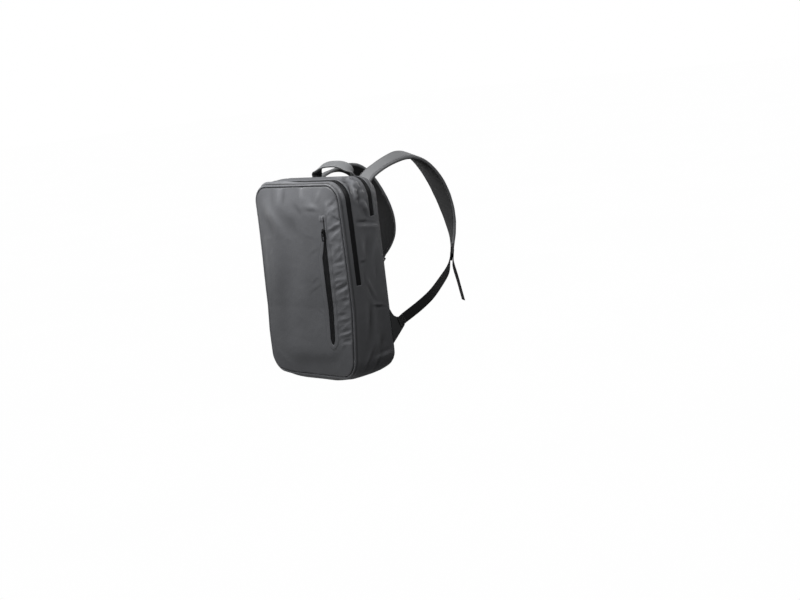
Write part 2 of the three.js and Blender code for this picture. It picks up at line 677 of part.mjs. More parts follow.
function boxBetween(fromX, toX, fromY, toY, fromZ, toZ) {
  const box = new THREE.BoxGeometry(toX - fromX, toY - fromY, toZ - fromZ);
  box.translate((fromX + toX) / 2, (fromY + toY) / 2, (fromZ + toZ) / 2);
  return box;
}

// The strap's lower end is sewn round the buckle's top bar, so the bar lies in a hole through it
function shoulderStrap(stations) {
  const pad = loft(stations.map(padLoop), false);
  const bar = LOCK_BARS[0];
  const reach = LOCK.halfWidth;
  const half = LOCK.thick / 2 + GAP;
  const hole = boxBetween(-reach, reach, bar.from - GAP, bar.to + GAP, -half, half);
  hole.applyMatrix4(lockPlace(stations[stations.length - 1]));
  return cut(pad, hole);
}

function ladderLock(strapEnd) {
  const outline = new THREE.Shape([
    new THREE.Vector2(-LOCK.halfWidth, LOCK_BARS[0].from),
    new THREE.Vector2(LOCK.halfWidth, LOCK_BARS[0].from),
    new THREE.Vector2(LOCK.halfWidth, LOCK.length - LOCK_LIP.down),
    new THREE.Vector2(LOCK.halfWidth - LOCK_LIP.across, LOCK.length),
    new THREE.Vector2(LOCK_LIP.across - LOCK.halfWidth, LOCK.length),
    new THREE.Vector2(-LOCK.halfWidth, LOCK.length - LOCK_LIP.down),
  ]);
  const inside = LOCK.halfWidth - LOCK.rail;
  for (let bar = 0; bar < LOCK_BARS.length - 1; bar += 1) {
    const [from, to] = [LOCK_BARS[bar].to, LOCK_BARS[bar + 1].from];
    outline.holes.push(new THREE.Path([
      new THREE.Vector2(-inside, from), new THREE.Vector2(-inside, to),
      new THREE.Vector2(inside, to), new THREE.Vector2(inside, from),
    ]));
  }
  const frame = new THREE.ExtrudeGeometry(outline, { depth: LOCK.thick, bevelEnabled: false });
  frame.translate(0, 0, -LOCK.thick / 2);
  return frame.applyMatrix4(lockPlace(strapEnd));
}

// The webbing's tail comes down the buckle's face, the webbing turns round the middle bar and then runs back
// behind the buckle to the wing
function webbing(strapEnd, ribSections) {
  const place = lockPlace(strapEnd);
  const half = LOCK.thick / 2;
  const clear = WEBBING_PLAY + WEBBING_THICK / 2;
  const level = half + clear;
  const bar = LOCK_BARS[1];
  const around = [
    { along: LOCK.length + TAIL_LEAVES.beyond, out: level + TAIL_LEAVES.lift },
    { along: LOCK.length, out: level },
    { along: bar.to, out: level },
    { along: bar.from, out: level },
    { along: bar.from - BAR_BEND * clear, out: half + BAR_BEND * clear },
    { along: bar.from - clear, out: half },
    { along: bar.from - clear, out: -half },
    { along: bar.from - BAR_BEND * clear, out: -half - BAR_BEND * clear },
    { along: bar.from, out: -level },
    { along: bar.to, out: -level },
    { along: LOCK.length, out: -level },
  ];
  const onLock = around.map((row) => new THREE.Vector3(0, row.along, row.out).applyMatrix4(place));
  const tail = [WEBBING_TAIL, WEBBING_TAIL / 2].map((drop) => onLock[0].clone().add(
    new THREE.Vector3(TAIL_FALL.x, TAIL_FALL.y, TAIL_FALL.z).multiplyScalar(drop)));
  const ribs = ribSections.map((row) => new THREE.Vector3(row.x, row.y, row.z));
  const points = [...tail, ...onLock, ...ribs];
  const line = new THREE.CatmullRomCurve3(points, false, "centripetal");
  const loops = [];
  for (let knot = 0; knot < points.length; knot += 1) {
    const steps = knot >= tail.length + onLock.length - 1 ? RIB_STEPS : 1;
    for (let step = 0; step < steps; step += 1) {
      const share = (knot + step / steps) / (points.length - 1);
      if (share > 1) break;
      const along = line.getTangent(share);
      const rib = knot - tail.length - onLock.length;
      const across = strapEnd.across.clone();
      if (rib >= -1) {
        const next = ribSections[Math.min(rib + 1, ribSections.length - 1)];
        const from = rib < 0 ? strapEnd.across : along.clone().cross(outerFace(ribSections[rib]));
        const to = along.clone().cross(outerFace(next));
        across.copy(from).lerp(to, step / steps);
      }
      across.addScaledVector(along, -across.dot(along)).normalize();
      const face = across.clone().cross(along);
      loops.push(bandLoop(line.getPoint(share), across, face));
    }
  }
  return loft(loops, false);
}

function wing() {
  const outline = new THREE.Shape(WING_OUTLINE.map((row) => new THREE.Vector2(row.reach, row.z)));
  const plate = new THREE.ExtrudeGeometry(outline, { depth: WALL, bevelEnabled: false });
  const turned = new THREE.Matrix4().makeBasis(
    new THREE.Vector3(0, 1, 0), new THREE.Vector3(0, 0, 1), new THREE.Vector3(1, 0, 0));
  plate.applyMatrix4(turned);
  plate.translate(BAG_WIDTH / 2 - BACK_INSET + GAP, BAG_DEPTH + GAP, 0);
  return plate;
}

function mirrored(geometry) {
  const other = geometry.clone();
  other.deleteAttribute("normal");
  other.deleteAttribute("uv");
  const closed = mergeVertices(other, 1e-4);
  const positions = Array.from(closed.attributes.position.array);
  for (let x = 0; x < positions.length; x += 3) positions[x] = -positions[x];
  return solidFrom(positions, Array.from(closed.index.array));
}

// The handle: an arch across the top, its feet sewn flat to the back panel and its band tipped forward on top
function handleStations() {
  const depth = BAG_DEPTH + BACK_PAD + 3 * GAP + HANDLE.lining;
  const power = (value) => Math.sign(value) * Math.abs(value) ** HANDLE_SQUARENESS;
  const pointAt = (angle) => new THREE.Vector3(HANDLE.halfSpan * power(Math.cos(angle)), depth,
    HANDLE.spring + (HANDLE.crown - HANDLE.spring) * power(Math.sin(angle)));
  const stations = [];
  for (let step = 0; step <= HANDLE_STEPS; step += 1) {
    const angle = Math.PI * step / HANDLE_STEPS;
    const before = pointAt(Math.max(0, angle - HANDLE_TANGENT_STEP));
    const after = pointAt(Math.min(Math.PI, angle + HANDLE_TANGENT_STEP));
    const along = after.sub(before).normalize();
    const upright = Math.abs(Math.cos(angle)) ** HANDLE_TWIST_POWER;
    const twist = Math.PI / 2 * upright - HANDLE_TIP * (1 - upright);
    const across = new THREE.Vector3(0, 1, 0).applyAxisAngle(along, twist);
    stations.push({ point: pointAt(angle), across, face: along.clone().cross(across).negate() });
  }
  const foot = (station) => ({ ...station, point: station.point.clone().setZ(HANDLE.foot) });
  return [foot(stations[0]), ...stations, foot(stations[HANDLE_STEPS])];
}

function handleBand(low, high) {
  const stations = handleStations();
  const corner = (row, column, level) => stations[row].point.clone()
    .addScaledVector(stations[row].across, HANDLE.width * (column / HANDLE_COLUMNS - 0.5))
    .addScaledVector(stations[row].face, level)
    .toArray();
  return wallBetween(stations.length - 1, HANDLE_COLUMNS, false,
    (row, column) => corner(row, column, high),
    (row, column) => corner(row, column, low));
}

const bag = new THREE.Group();
bag.position.set(0, -SHOULDER_FORWARD, -SHOULDER_RISE);
bag.add(piece("front_panel", frontPanel(), coatedGrey));
bag.add(piece("front_piping", piping(), coatedGrey));
bag.add(piece("gusset", gusset(), coatedGrey));
bag.add(piece("back_panel", backPanel(), darkMesh));
bag.add(piece("front_zip_tape", frontZipTape(), zipBlack));
bag.add(piece("main_zip_tape", zipTape(MAIN_ZIP), zipBlack));
bag.add(piece("laptop_zip_tape", zipTape(LAPTOP_ZIP), zipBlack));

const frontTapeFace = frontFace(FRONT_SLIDER.x, FRONT_SLIDER.height) - WALL / 2 + ZIP_SUNK;
bag.add(sliderAssembly("front_zip", new THREE.Vector3(FRONT_SLIDER.x, frontTapeFace, FRONT_SLIDER.height),
  new THREE.Vector3(0, -1, 0), new THREE.Vector3(0, 0, 1)));
const mainSpot = gussetPoint(GIRTH - alongAtHeight(MAIN_SLIDER_HEIGHT), MAIN_ZIP.depth, ZIP_SUNK);
bag.add(sliderAssembly("main_zip", new THREE.Vector3(...mainSpot),
  new THREE.Vector3(-1, 0, 0), new THREE.Vector3(0, 0, 1)));
const laptopSpot = gussetPoint(GIRTH - alongAtHeight(LAPTOP_SLIDER_HEIGHT), LAPTOP_ZIP.depth, ZIP_SUNK);
bag.add(sliderAssembly("laptop_zip", new THREE.Vector3(...laptopSpot),
  new THREE.Vector3(-1, 0, 0), new THREE.Vector3(0, 0, 1)));

bag.add(piece("grab_handle", handleBand(0, HANDLE.thick), lightGrey));
bag.add(piece("handle_lining", handleBand(-HANDLE.lining - GAP, -GAP), darkMesh));

// Each side is worked out as a right side, and the left one is mirrored
const sides = [
  { name: "right", drop: 0, turned: (geometry) => geometry },
  { name: "left", drop: SHOULDER_DROP, turned: mirrored },
];
for (const side of sides) {
  const stations = stationsThrough(dropped(STRAP_SECTIONS, side.drop), STRAP_STEPS);
  const strapEnd = stations[stations.length - 1];
  const ribs = dropped(RIB_SECTIONS, side.drop);
  bag.add(piece(`shoulder_strap_${side.name}`, side.turned(shoulderStrap(stations)), lightGrey));
  bag.add(piece(`ladder_lock_${side.name}`, side.turned(ladderLock(strapEnd)), pullBlack));
  bag.add(piece(`webbing_${side.name}`, side.turned(webbing(strapEnd, ribs)), webbingBlack));
  bag.add(piece(`wing_${side.name}`, side.turned(wing()), coatedGrey));
}

const backpack = new THREE.Group();
backpack.name = "dry_bag_backpack";
backpack.add(bag);

export default backpack;
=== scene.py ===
import math

import bmesh
import bpy
import numpy as np
from mathutils import Matrix, Vector, noise


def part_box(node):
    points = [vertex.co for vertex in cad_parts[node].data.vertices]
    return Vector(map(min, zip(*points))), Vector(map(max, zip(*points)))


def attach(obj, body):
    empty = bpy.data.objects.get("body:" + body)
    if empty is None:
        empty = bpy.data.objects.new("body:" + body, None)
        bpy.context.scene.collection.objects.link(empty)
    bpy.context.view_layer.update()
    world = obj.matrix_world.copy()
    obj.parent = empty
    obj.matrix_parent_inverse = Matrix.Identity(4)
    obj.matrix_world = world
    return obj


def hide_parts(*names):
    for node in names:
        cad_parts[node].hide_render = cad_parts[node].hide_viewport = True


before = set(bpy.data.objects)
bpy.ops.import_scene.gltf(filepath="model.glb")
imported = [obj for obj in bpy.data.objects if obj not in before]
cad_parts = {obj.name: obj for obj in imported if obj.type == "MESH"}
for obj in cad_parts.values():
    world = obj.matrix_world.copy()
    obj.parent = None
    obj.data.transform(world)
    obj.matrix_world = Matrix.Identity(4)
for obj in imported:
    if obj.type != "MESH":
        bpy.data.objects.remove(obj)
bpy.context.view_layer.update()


# Stage: the camera looks at the pack's front and right side from a little above, with the picture turned a
# few degrees. A large soft box hangs close over the front, so the light falls off towards the base, and a
# pale floor lies below the hanging pack.
EYE = Vector((2.3996, -2.3190, 0.2462))
YAW, PITCH, ROLL = (math.radians(angle) for angle in (45.436, 9.937, -6.764))
LENS, SENSOR, FARTHEST = 62.59, 36.0, 200.0
FLOOR_HEIGHT, FLOOR_HALF = -0.95, 30.0
FLOOR_CLOUDS, FLOOR_TONE = 1.5, (0.99, 1.0)
SOFT_BOXES = [
    # name, place, point aimed at, size across and along, watts
    ("key_box", (-0.14, -0.56, 0.42), (0.0, -0.22, -0.10), (0.5, 0.32), 4.75),
    ("left_strip", (-1.5, -0.2, 0.3), (0.0, -0.2, -0.15), (0.5, 1.4), 2.0),
    ("shoulder_box", (0.58, -0.30, 0.48), (0.12, -0.20, -0.05), (0.30, 0.30), 1.9),
    ("floor_bounce", (-0.1, -0.50, -0.93), (0.0, -0.22, -0.42), (0.8, 0.3), 0.85),
    ("back_fill", (-0.2, 1.5, 0.15), (0.0, 0.0, -0.2), (1.0, 0.8), 9.0),
]
SKY_BELOW, SKY_ABOVE = 0.03, 0.09
WHITE = (1.0, 1.0, 1.0, 1.0)
WHOLE_RANGE = (0.0, 1.0)


def add_node(tree, kind, inputs=None, **settings):
    """A node with its settings, and its inputs by name or number: a value, or the socket that feeds it."""
    made = tree.nodes.new(kind)
    for name, value in settings.items():
        setattr(made, name, value)
    for key, value in (inputs or {}).items():
        if isinstance(value, bpy.types.NodeSocket):
            tree.links.new(value, made.inputs[key])
        else:
            made.inputs[key].default_value = value
    return made


def spread(tree, value, within, between):
    """A value that lies within two limits, spread between two others."""
    return add_node(tree, "ShaderNodeMapRange", {
        "Value": value, "From Min": within[0], "From Max": within[1],
        "To Min": between[0], "To Max": between[1]}).outputs[0]


def speckle(tree, scale, detail=2.0, roughness=0.5):
    """Cloudy noise from 0 to 1 in a piece's own space."""
    place = add_node(tree, "ShaderNodeTexCoord").outputs["Object"]
    return add_node(tree, "ShaderNodeTexNoise", {
        "Vector": place, "Scale": scale, "Detail": detail, "Roughness": roughness}).outputs[0]


def empty_tree(owner):
    """The node tree of a new world or material, with nothing in it."""
    owner.use_nodes = True
    owner.node_tree.nodes.clear()
    return owner.node_tree


def put_in_scene(name, data):
    made = bpy.data.objects.new(name, data)
    bpy.context.scene.collection.objects.link(made)
    return made


def camera_matrix():
    back = Vector((math.sin(YAW) * math.cos(PITCH), -math.cos(YAW) * math.cos(PITCH), math.sin(PITCH)))
    level = Vector((math.cos(YAW), math.sin(YAW), 0.0))
    upright = back.cross(level)
    right = math.cos(ROLL) * level + math.sin(ROLL) * upright
    up = math.cos(ROLL) * upright - math.sin(ROLL) * level
    turned = Matrix((right, up, back)).transposed().to_4x4()
    return Matrix.Translation(EYE) @ turned


def studio_world():
    """White to the camera, and a dim glow from above to everything else."""
    world = bpy.data.worlds.new("studio")
    tree = empty_tree(world)
    way = add_node(tree, "ShaderNodeTexCoord")
    height = add_node(tree, "ShaderNodeSeparateXYZ", {0: way.outputs["Generated"]})
    glow = spread(tree, height.outputs["Z"], (-1.0, 1.0), (SKY_BELOW, SKY_ABOVE))
    dim = add_node(tree, "ShaderNodeBackground", {"Color": WHITE, "Strength": glow})
    bright = add_node(tree, "ShaderNodeBackground", {"Color": WHITE, "Strength": 1.0})
    seen = add_node(tree, "ShaderNodeLightPath")
    mixed = add_node(tree, "ShaderNodeMixShader", {
        0: seen.outputs["Is Camera Ray"], 1: dim.outputs[0], 2: bright.outputs[0]})
    add_node(tree, "ShaderNodeOutputWorld", {"Surface": mixed.outputs[0]})
    return world


def floor_paint():
    paint = bpy.data.materials.new("pale_floor")
    tree = empty_tree(paint)
    tone = spread(tree, speckle(tree, FLOOR_CLOUDS), WHOLE_RANGE, FLOOR_TONE)
    glow = add_node(tree, "ShaderNodeEmission", {"Strength": tone})
    add_node(tree, "ShaderNodeOutputMaterial", {"Surface": glow.outputs[0]})
    return paint


camera = put_in_scene("photo_camera", bpy.data.cameras.new("photo_camera"))
camera.data.lens = LENS
camera.data.sensor_width = SENSOR
camera.data.clip_end = FARTHEST
camera.matrix_world = camera_matrix()
bpy.context.scene.camera = camera
bpy.context.scene.view_settings.view_transform = "Standard"
bpy.context.scene.world = studio_world()

for box_name, place, aim, size, watts in SOFT_BOXES:
    lamp = bpy.data.lights.new(box_name, "AREA")
    lamp.shape = "RECTANGLE"
    lamp.size, lamp.size_y = size
    lamp.energy = watts
    soft_box = put_in_scene(box_name, lamp)
    soft_box.location = place
    soft_box.rotation_euler = (Vector(aim) - Vector(place)).to_track_quat("-Z", "Y").to_euler()
    soft_box.visible_camera = False

floor_mesh = bpy.data.meshes.new("floor")
floor_corners = [(-1, -1), (1, -1), (1, 1), (-1, 1)]
floor_mesh.from_pydata(
    [(FLOOR_HALF * x, FLOOR_HALF * y, FLOOR_HEIGHT) for x, y in floor_corners], [], [(0, 1, 2, 3)])
floor_mesh.materials.append(floor_paint())
floor = put_in_scene("floor", floor_mesh)
floor.visible_diffuse = False
floor.visible_glossy = False
floor.visible_shadow = False


# Front panel: one cut of coated cloth that swells forward from its sewn edge, with a pressed welt round the
# mouth of the front pocket. The seam takes it into the piping all round, and the zip's strip gathers it.
# Sizes from here on are millimetres from the middle of the front seam, +Z up and the back panel at +Y.
MM = 0.001
BAG_WIDTH, BAG_HEIGHT, BAG_DEPTH, CORNER_RADIUS = 290.0, 444.0, 110.0, 42.0
CLOTH_WALL, SEWN_GAP = 2.0, 0.3
PIPING_RADIUS = 2.7
FRONT_INSET = 2 * PIPING_RADIUS + SEWN_GAP
FLANK_RISE, FRONT_SWELL = 12.0, 5.0
FRONT_BOW, BASE_KICK, KICK_START, KICK_CURVE = 3.0, 16.0, -60.0, 1.15
SLUMP_HEIGHT, SLUMP_REACH, SLUMP_FORWARD = -60.0, 150.0, 7.5
EDGE_ROLL, EDGE_RISE = 3.0, 2.5
DOME_RIGHT, DOME_LEFT, DOME_ENDS = 43.0, 85.0, 70.0
CORNER_X = BAG_WIDTH / 2 - CORNER_RADIUS
CORNER_Z = BAG_HEIGHT / 2 - CORNER_RADIUS

piping_low, piping_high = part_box("front_piping")
SEAM_MIDDLE = np.array((
    (piping_low.x + piping_high.x) / 2,
    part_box("gusset")[1].y - BAG_DEPTH * MM,
    (piping_low.z + piping_high.z) / 2,
))

# The lower left front corner slumps by this much, and the slump fades over these stretches
CORNER_SLUMP = (8.5, 0.0, 7.0)
SLUMP_LEFT, SLUMP_DOWN, SLUMP_BACK = (60, 145), (110, 222), (0, 100)

FRONT_MOUTH = [
    # height, left lip, right lip
    (147, 98.4, 99.8), (133, 97.0, 99.5), (101, 93.0, 98.9), (77, 87.5, 98.4), (55, 80.2, 97.9),
    (-13, 79.8, 96.6), (-129, 80.6, 94.8), (-138, 83.2, 92.6), (-142, 86.2, 89.8),
]
FRONT_FOLDS = [
    # middle across, middle up, half-length, half-width, height, lean from level
    (-86, 120, 120, 26, 1.8, 82), (-30, 60, 110, 30, -1.6, 78), (30, 96, 90, 22, 1.4, 96),
    (-60, -120, 70, 34, -1.8, 20), (20, -176, 90, 16, 1.6, 4), (104, -168, 46, 14, -1.8, 38),
]
# Even gathers down the strip right of the zip, in the columns of FRONT_FOLDS
GATHERS = [(116, 122 - 31 * row, 17, 9, 1.6, 8) for row in range(8)]
PUCKERS = [
    # the strip between the zip and the piping, from the top down, in the columns of FRONT_FOLDS
    (126, 178, 15, 4.0, -1.7, 30), (127, 165, 14, 4.5, 1.5, 22), (130, 143, 12, 3.5, -1.6, -34),
    (130, 131, 13, 4.0, 1.6, 8), (122, 120, 15, 3.5, -1.8, 24), (123, 108, 17, 4.5, 1.7, 28),
    (133, 82, 14, 3.5, -1.5, 76), (118, 74, 16, 5.0, 1.1, 64), (132, 56, 11, 3.5, -1.5, 70),
    (124, 41, 17, 4.0, 1.7, 12), (121, 20, 15, 3.5, -1.7, 24), (123, 6, 16, 4.0, 1.6, 9),
    (121, -11, 18, 3.6, -2.0, 23), (125, -20, 16, 4.2, 1.9, 22), (133, -27, 9, 3.5, -1.5, 64),
    (127, -40, 12, 3.5, -1.5, 14), (130, -49, 12, 3.6, 1.5, 21), (117, -74, 14, 3.5, -1.4, 6),
    (119, -84, 15, 3.6, 1.2, 9), (124, -101, 14, 4.5, 1.0, 52), (121, -125, 17, 4.0, -1.7, 18),
    (129, -116, 13, 3.5, 1.4, 14), (128, -140, 14, 4.0, 1.6, 9), (129, -131, 12, 3.5, -1.4, 12),
    # beside the zip's left lip and over its top
    (46, -18, 20, 4.0, -0.8, 27), (50, 3, 12, 3.5, -0.6, 38), (58, -72, 14, 3.6, -0.7, -33),
    (48, 100, 16, 4.0, -0.6, -12), (57, 68, 14, 4.5, -0.6, 28), (57, 162, 22, 5.0, -1.5, -4),
    (58, 173, 20, 6.0, 0.9, -4),
]
DRAGS = [
    # soft pulls from the top seam and the left corner, and the long ridge across the upper front
    (-48, 196, 24, 8, 1.9, 90), (-35, 193, 20, 6, -1.7, 84), (27, 199, 18, 6, 2.0, -82),
    (14, 164, 22, 8, -1.7, -39), (-66, 142, 54, 14, 1.7, -49), (-92, 128, 44, 13, -2.0, -52),
    (-10, 128, 40, 14, -1.5, -42), (84, 196, 16, 7, 1.4, 60), (-118, 40, 46, 9, 1.0, 88),
    (-74, 186, 26, 8, -1.4, 96), (56, 178, 26, 9, 1.3, -30), (-20, -60, 90, 26, 0.9, 70),
    (-70, -30, 80, 22, -0.9, 78), (30, -178, 80, 15, -1.2, 4), (-84, -186, 34, 9, 1.0, -24),
]
PUCKER_SHARE, GATHER_SHARE = 0.62, 0.7
FRONT_RUMPLES = [
    # height, size of the waves, seed
    (0.4, 46.0, 1), (0.16, 15.0, 2),
]
# Each seed reads the noise from another place, this much further on than the seed before
SEED_SHIFT = (17.3, 5.1, 9.7)
# A crease's crest is sharper than a fold's, and a trough lies beside it at a share of its width
PINCH_POWER, TROUGH_SHARE, TROUGH_PLACE = 1.5, 0.7, 1.5
# The crumpled strip right of the zip and the crushed upper left, with their crumples' height, size and seed
STRIP_LEFT, STRIP_LOW, STRIP_HIGH = (100, 112), (-160, -140), (176, 192)
STRIP_CRUMPLE, STRIP_SIZE, STRIP_SEED = 0.9, 13.0, 3
STRIP_DRAWN_OUT, STRIP_LEAN = 0.6, 0.4
CRUSHED_X, CRUSHED_Z = (-70, 60), (130, 70)
FRONT_CRUMPLE, CRUSHED_SIZE, CRUSHED_SEED = 0.8, 38.0, 9
SEAM_HOLD = 4.5
WELT_WIDTH, WELT_TOP_WIDTH, WELT_RISE = 10.0, 5.5, 1.1
WELT_NARROWS = (55.0, 120.0)
# Beyond the welt's edge: the step down, the crease beside it, and where the cloth is loose
WELT_STEP, LOOSE_FROM = (-0.8, 0.5), (-0.5, 3)
WELT_CREASE, CREASE_PLACE, CREASE_WIDTH = 0.45, 0.9, 0.7
LIP_ROLL, LIP_WIDTH = 0.7, 0.7
TAB_LEFT, TAB_RIGHT, TAB_LOW, TAB_HIGH = (84.2, 85.8), (97.0, 98.0), (139.0, 141.0), (149.0, 153.0)
# The tab's rise, and how much a painted highlight brightens it
TAB_RISE, TAB_PAINTED_HIGHLIGHT = 1.3, 2.2
# How much painted shade darkens the seam, and the painted light on the strip, which grows up it
SEAM_PAINTED_SHADE, SEAM_PAINTED_SHADE_WIDTH = 4.5, 2.2
STRIP_PAINTED_LIGHT_LOW, STRIP_PAINTED_LIGHT_HIGH, PAINTED_LIGHT_GROWS = 0.5, 3.4, (-130, 40)
# Rows round a corner and up a side, and columns on either side of the mouth with how even they are
FRONT_ROWS = (16, 164)
FRONT_LEFT_COLUMNS, FRONT_RIGHT_COLUMNS = (126, 0.3), (36, 0.35)
# Points of a grid that are this close, in metres, become one
JOINED_WITHIN = 1e-6


def smooth_step(low, high, value):
    share = np.clip((value - low) / (high - low), 0, 1)
    return share * share * (3 - 2 * share)


def hump(value, middle, reach):
    """1 at a middle, falling off smoothly over a reach to either side."""
    return np.exp(-((value - middle) / reach) ** 2)


def placed(points):
    """Millimetres from the middle of the front seam, slumped at the lower left, as metres in the frame."""
    points = np.array(points, float)
    x, y, z = (points[..., axis] for axis in range(3))
    slumped = smooth_step(*SLUMP_LEFT, -x) * smooth_step(*SLUMP_DOWN, -z) * (1 - smooth_step(*SLUMP_BACK, y))
    return (points + slumped[..., None] * CORNER_SLUMP) * MM + SEAM_MIDDLE


def fold_heights(folds, across, up, pinched=False):
    """How far a table of folds, or of pinched creases, lifts the cloth at places across and up it."""
    lifted = np.zeros_like(across)
    for middle, height, long, wide, rise, lean in folds:
        turn = math.radians(lean)
        right, above = across - middle, up - height
        lengthwise = (right * math.cos(turn) + above * math.sin(turn)) / long
        sideways = (above * math.cos(turn) - right * math.sin(turn)) / wide
        crest = np.exp(-np.abs(sideways) ** (PINCH_POWER if pinched else 2))
        if pinched:
            crest -= TROUGH_SHARE * hump(sideways, TROUGH_PLACE, 1)
        lifted += rise * crest * np.exp(-lengthwise ** 2)
    return lifted


def rumple(points, size, seed):
    """Smooth noise from -1 to 1 at points, with waves about size across."""
    shift = Vector([seed * step for step in SEED_SHIFT])
    heights = [noise.noise(Vector(point) / size + shift) for point in points.reshape(-1, 3)]
    return np.array(heights).reshape(points.shape[:-1])


def rumpled(points, waves):
    """The sum of a table of rumples."""
    return sum(height * rumple(points, size, seed) for height, size, seed in waves)


def crumple(points, size, seed):
    """Sharp crests with softer hollows between them, about size across, as in crushed stiff cloth."""
    crest, steepness, roundness = 0.45, 2.0, 0.003
    return crest - steepness * np.sqrt(rumple(points, size, seed) ** 2 + roundness)


def inside_rim(x, z, inset):
    """How far inside the rounded rim, drawn in by an inset, a place on the front lies."""
    beyond_x, beyond_z = np.abs(x) - CORNER_X, np.abs(z) - CORNER_Z
    corner = np.hypot(np.maximum(beyond_x, 0), np.maximum(beyond_z, 0))
    straight = np.minimum(np.maximum(beyond_x, beyond_z), 0)
    return np.maximum(0, CORNER_RADIUS - inset - corner - straight)


def front_seam(x, z):
    """Depth of the seam: the worn pack hollows along its back, its base kicks forward, its left slumps."""
    kick = np.maximum(0, KICK_START - z) / (KICK_START + BAG_HEIGHT / 2)
    slump = SLUMP_FORWARD * hump(z, SLUMP_HEIGHT, SLUMP_REACH) * (0.5 - x / BAG_WIDTH)
    return FRONT_BOW * (1 - (z / (BAG_HEIGHT / 2)) ** 2) - BASE_KICK * kick ** KICK_CURVE - slump


def front_face(x, z):
    """Depth of the outside of the front panel: a tight roll at its edge, then a low dome with large folds."""
    roll = np.sqrt(1 - (1 - np.minimum(1, inside_rim(x, z, FRONT_INSET) / EDGE_ROLL)) ** 2)
    side, end = BAG_WIDTH / 2 - FRONT_INSET, BAG_HEIGHT / 2 - FRONT_INSET
    dome = np.ones_like(roll)
    for gap, reach in ((side - x, DOME_RIGHT), (side + x, DOME_LEFT), (end - np.abs(z), DOME_ENDS)):
        dome *= np.sin(np.clip(gap / reach, 0, 1) * math.pi / 2)
    swell = FRONT_SWELL * (1 - (2 * x / BAG_WIDTH) ** 2) * (1 - (2 * z / BAG_HEIGHT) ** 2)
    out = FLANK_RISE - EDGE_RISE + swell + fold_heights(FRONT_FOLDS + GATHERS, x, z)
    return front_seam(x, z) - EDGE_RISE * roll - dome * out - CLOTH_WALL / 2


def distance_to_mouth(x, z):
    """Distance of places on the panel from the edge of the pocket's mouth."""
    right = [(row[2], row[0]) for row in FRONT_MOUTH]
    left = [(row[1], row[0]) for row in reversed(FRONT_MOUTH)]
    ring = np.array(right + left, float)
    places = np.stack([x, z], -1)
    nearest = np.full(x.shape, np.inf)
    for start, end in zip(ring, np.roll(ring, -1, 0)):
        run = end - start
        share = np.clip(((places - start) @ run) / (run @ run), 0, 1)
        nearest = np.minimum(nearest, np.linalg.norm(places - start - share[..., None] * run, axis=-1))
    return nearest


def graded(count, evenness):
    """Shares from 0 to 1 that lie closer together towards both ends."""
    share = np.linspace(0, 1, count + 1)
    return share - (1 - evenness) * np.sin(2 * math.pi * share) / (2 * math.pi)


def panel_rows(inset, corner_rows, side_rows):
    """Heights and half-widths of a rounded panel's rows, close together round its corners."""
    radius = CORNER_RADIUS - inset
    turn = np.radians(np.linspace(-90, 0, corner_rows, endpoint=False))
    low = np.stack([-CORNER_Z + radius * np.sin(turn), CORNER_X + radius * np.cos(turn)], 1)
    heights = np.linspace(-CORNER_Z, CORNER_Z, side_rows + 1)
    middle = np.stack([heights, np.full_like(heights, CORNER_X + radius)], 1)
    return np.vstack([low, middle, low[::-1] * (-1, 1)])


def grid_cells(rows, columns):
    """The numbers of a grid's points, and the four of them round each cell."""
    number = np.arange(rows * columns).reshape(rows, columns)
    return number, np.stack([number[:-1, :-1], number[:-1, 1:], number[1:, 1:], number[1:, :-1]], -1)


def reformed(mesh, change):
    """Changes a mesh by a function of its editable form."""
    form = bmesh.new()
    form.from_mesh(mesh)
    change(form)
    form.to_mesh(mesh)
    form.free()


def join_cells(form):
    """Joins a grid's edges where they meet, drops its unused points and smooths its faces."""
    bmesh.ops.remove_doubles(form, verts=form.verts, dist=JOINED_WITHIN)
    loose = [vert for vert in form.verts if not vert.link_faces]
    bmesh.ops.delete(form, geom=loose, context="VERTS")
    for face in form.faces:
        face.smooth = True


def cloth_from_grid(name, points, measure, finish, wall=0.0, kept=None, crest=None):
    """A sheet from rows of points in the frame, with a wall inwards from them. measure gives each point's
    place on the flat cloth in metres, kept the cells that are cloth, and crest how far a point stands proud
    with painted light and shade added, which the finish turns into paler and darker colour."""
    rows, columns = points.shape[:2]
    cells = grid_cells(rows, columns)[1]
    faces = cells.reshape(-1, 4) if kept is None else cells[kept]
    mesh = bpy.data.meshes.new(name)
    mesh.from_pydata(points.reshape(-1, 3).tolist(), [], faces.tolist())
    layer = mesh.uv_layers.new(name="UVMap")
    corner = np.zeros(len(mesh.loops), np.int32)
    mesh.loops.foreach_get("vertex_index", corner)
    layer.data.foreach_set("uv", measure.reshape(-1, 2)[corner].astype(np.float32).ravel())
    height = np.zeros((rows, columns)) if crest is None else crest
    proud = mesh.attributes.new("crest", "FLOAT", "POINT")
    proud.data.foreach_set("value", height.astype(np.float32).ravel())
    reformed(mesh, join_cells)
    mesh.materials.append(finish)
    piece = put_in_scene(name, mesh)
    if wall:
        thicken = piece.modifiers.new("wall", "SOLIDIFY")
        thicken.thickness = wall * MM
        thicken.offset = -1
        thicken.use_even_offset = False
    return piece


# Most of a noise lies between these values
MOST_NOISE = (0.3, 0.7)
# A sheet's crest over this range scales its colour between these shades: painted shade in hollows and
# along seams, and paler crests, partly worn paler and partly painted light
CREST_RANGE, CREST_SHADES = (-8.0, 4.5), (0.11, 1.5)
COATED_WEAVE = 420.0


def new_finish(name):
    finish = bpy.data.materials.new(name)
    finish.use_nodes = True
    return finish, finish.node_tree


def two_tone(tree, share, dark, light):
    """A colour between a dark and a light one."""
    return add_node(tree, "ShaderNodeMix", {
        "Factor": share, 6: (*dark, 1.0), 7: (*light, 1.0)}, data_type="RGBA").outputs[2]


def times(tree, first, second):
    return add_node(tree, "ShaderNodeMath", {0: first, 1: second}, operation="MULTIPLY").outputs[0]


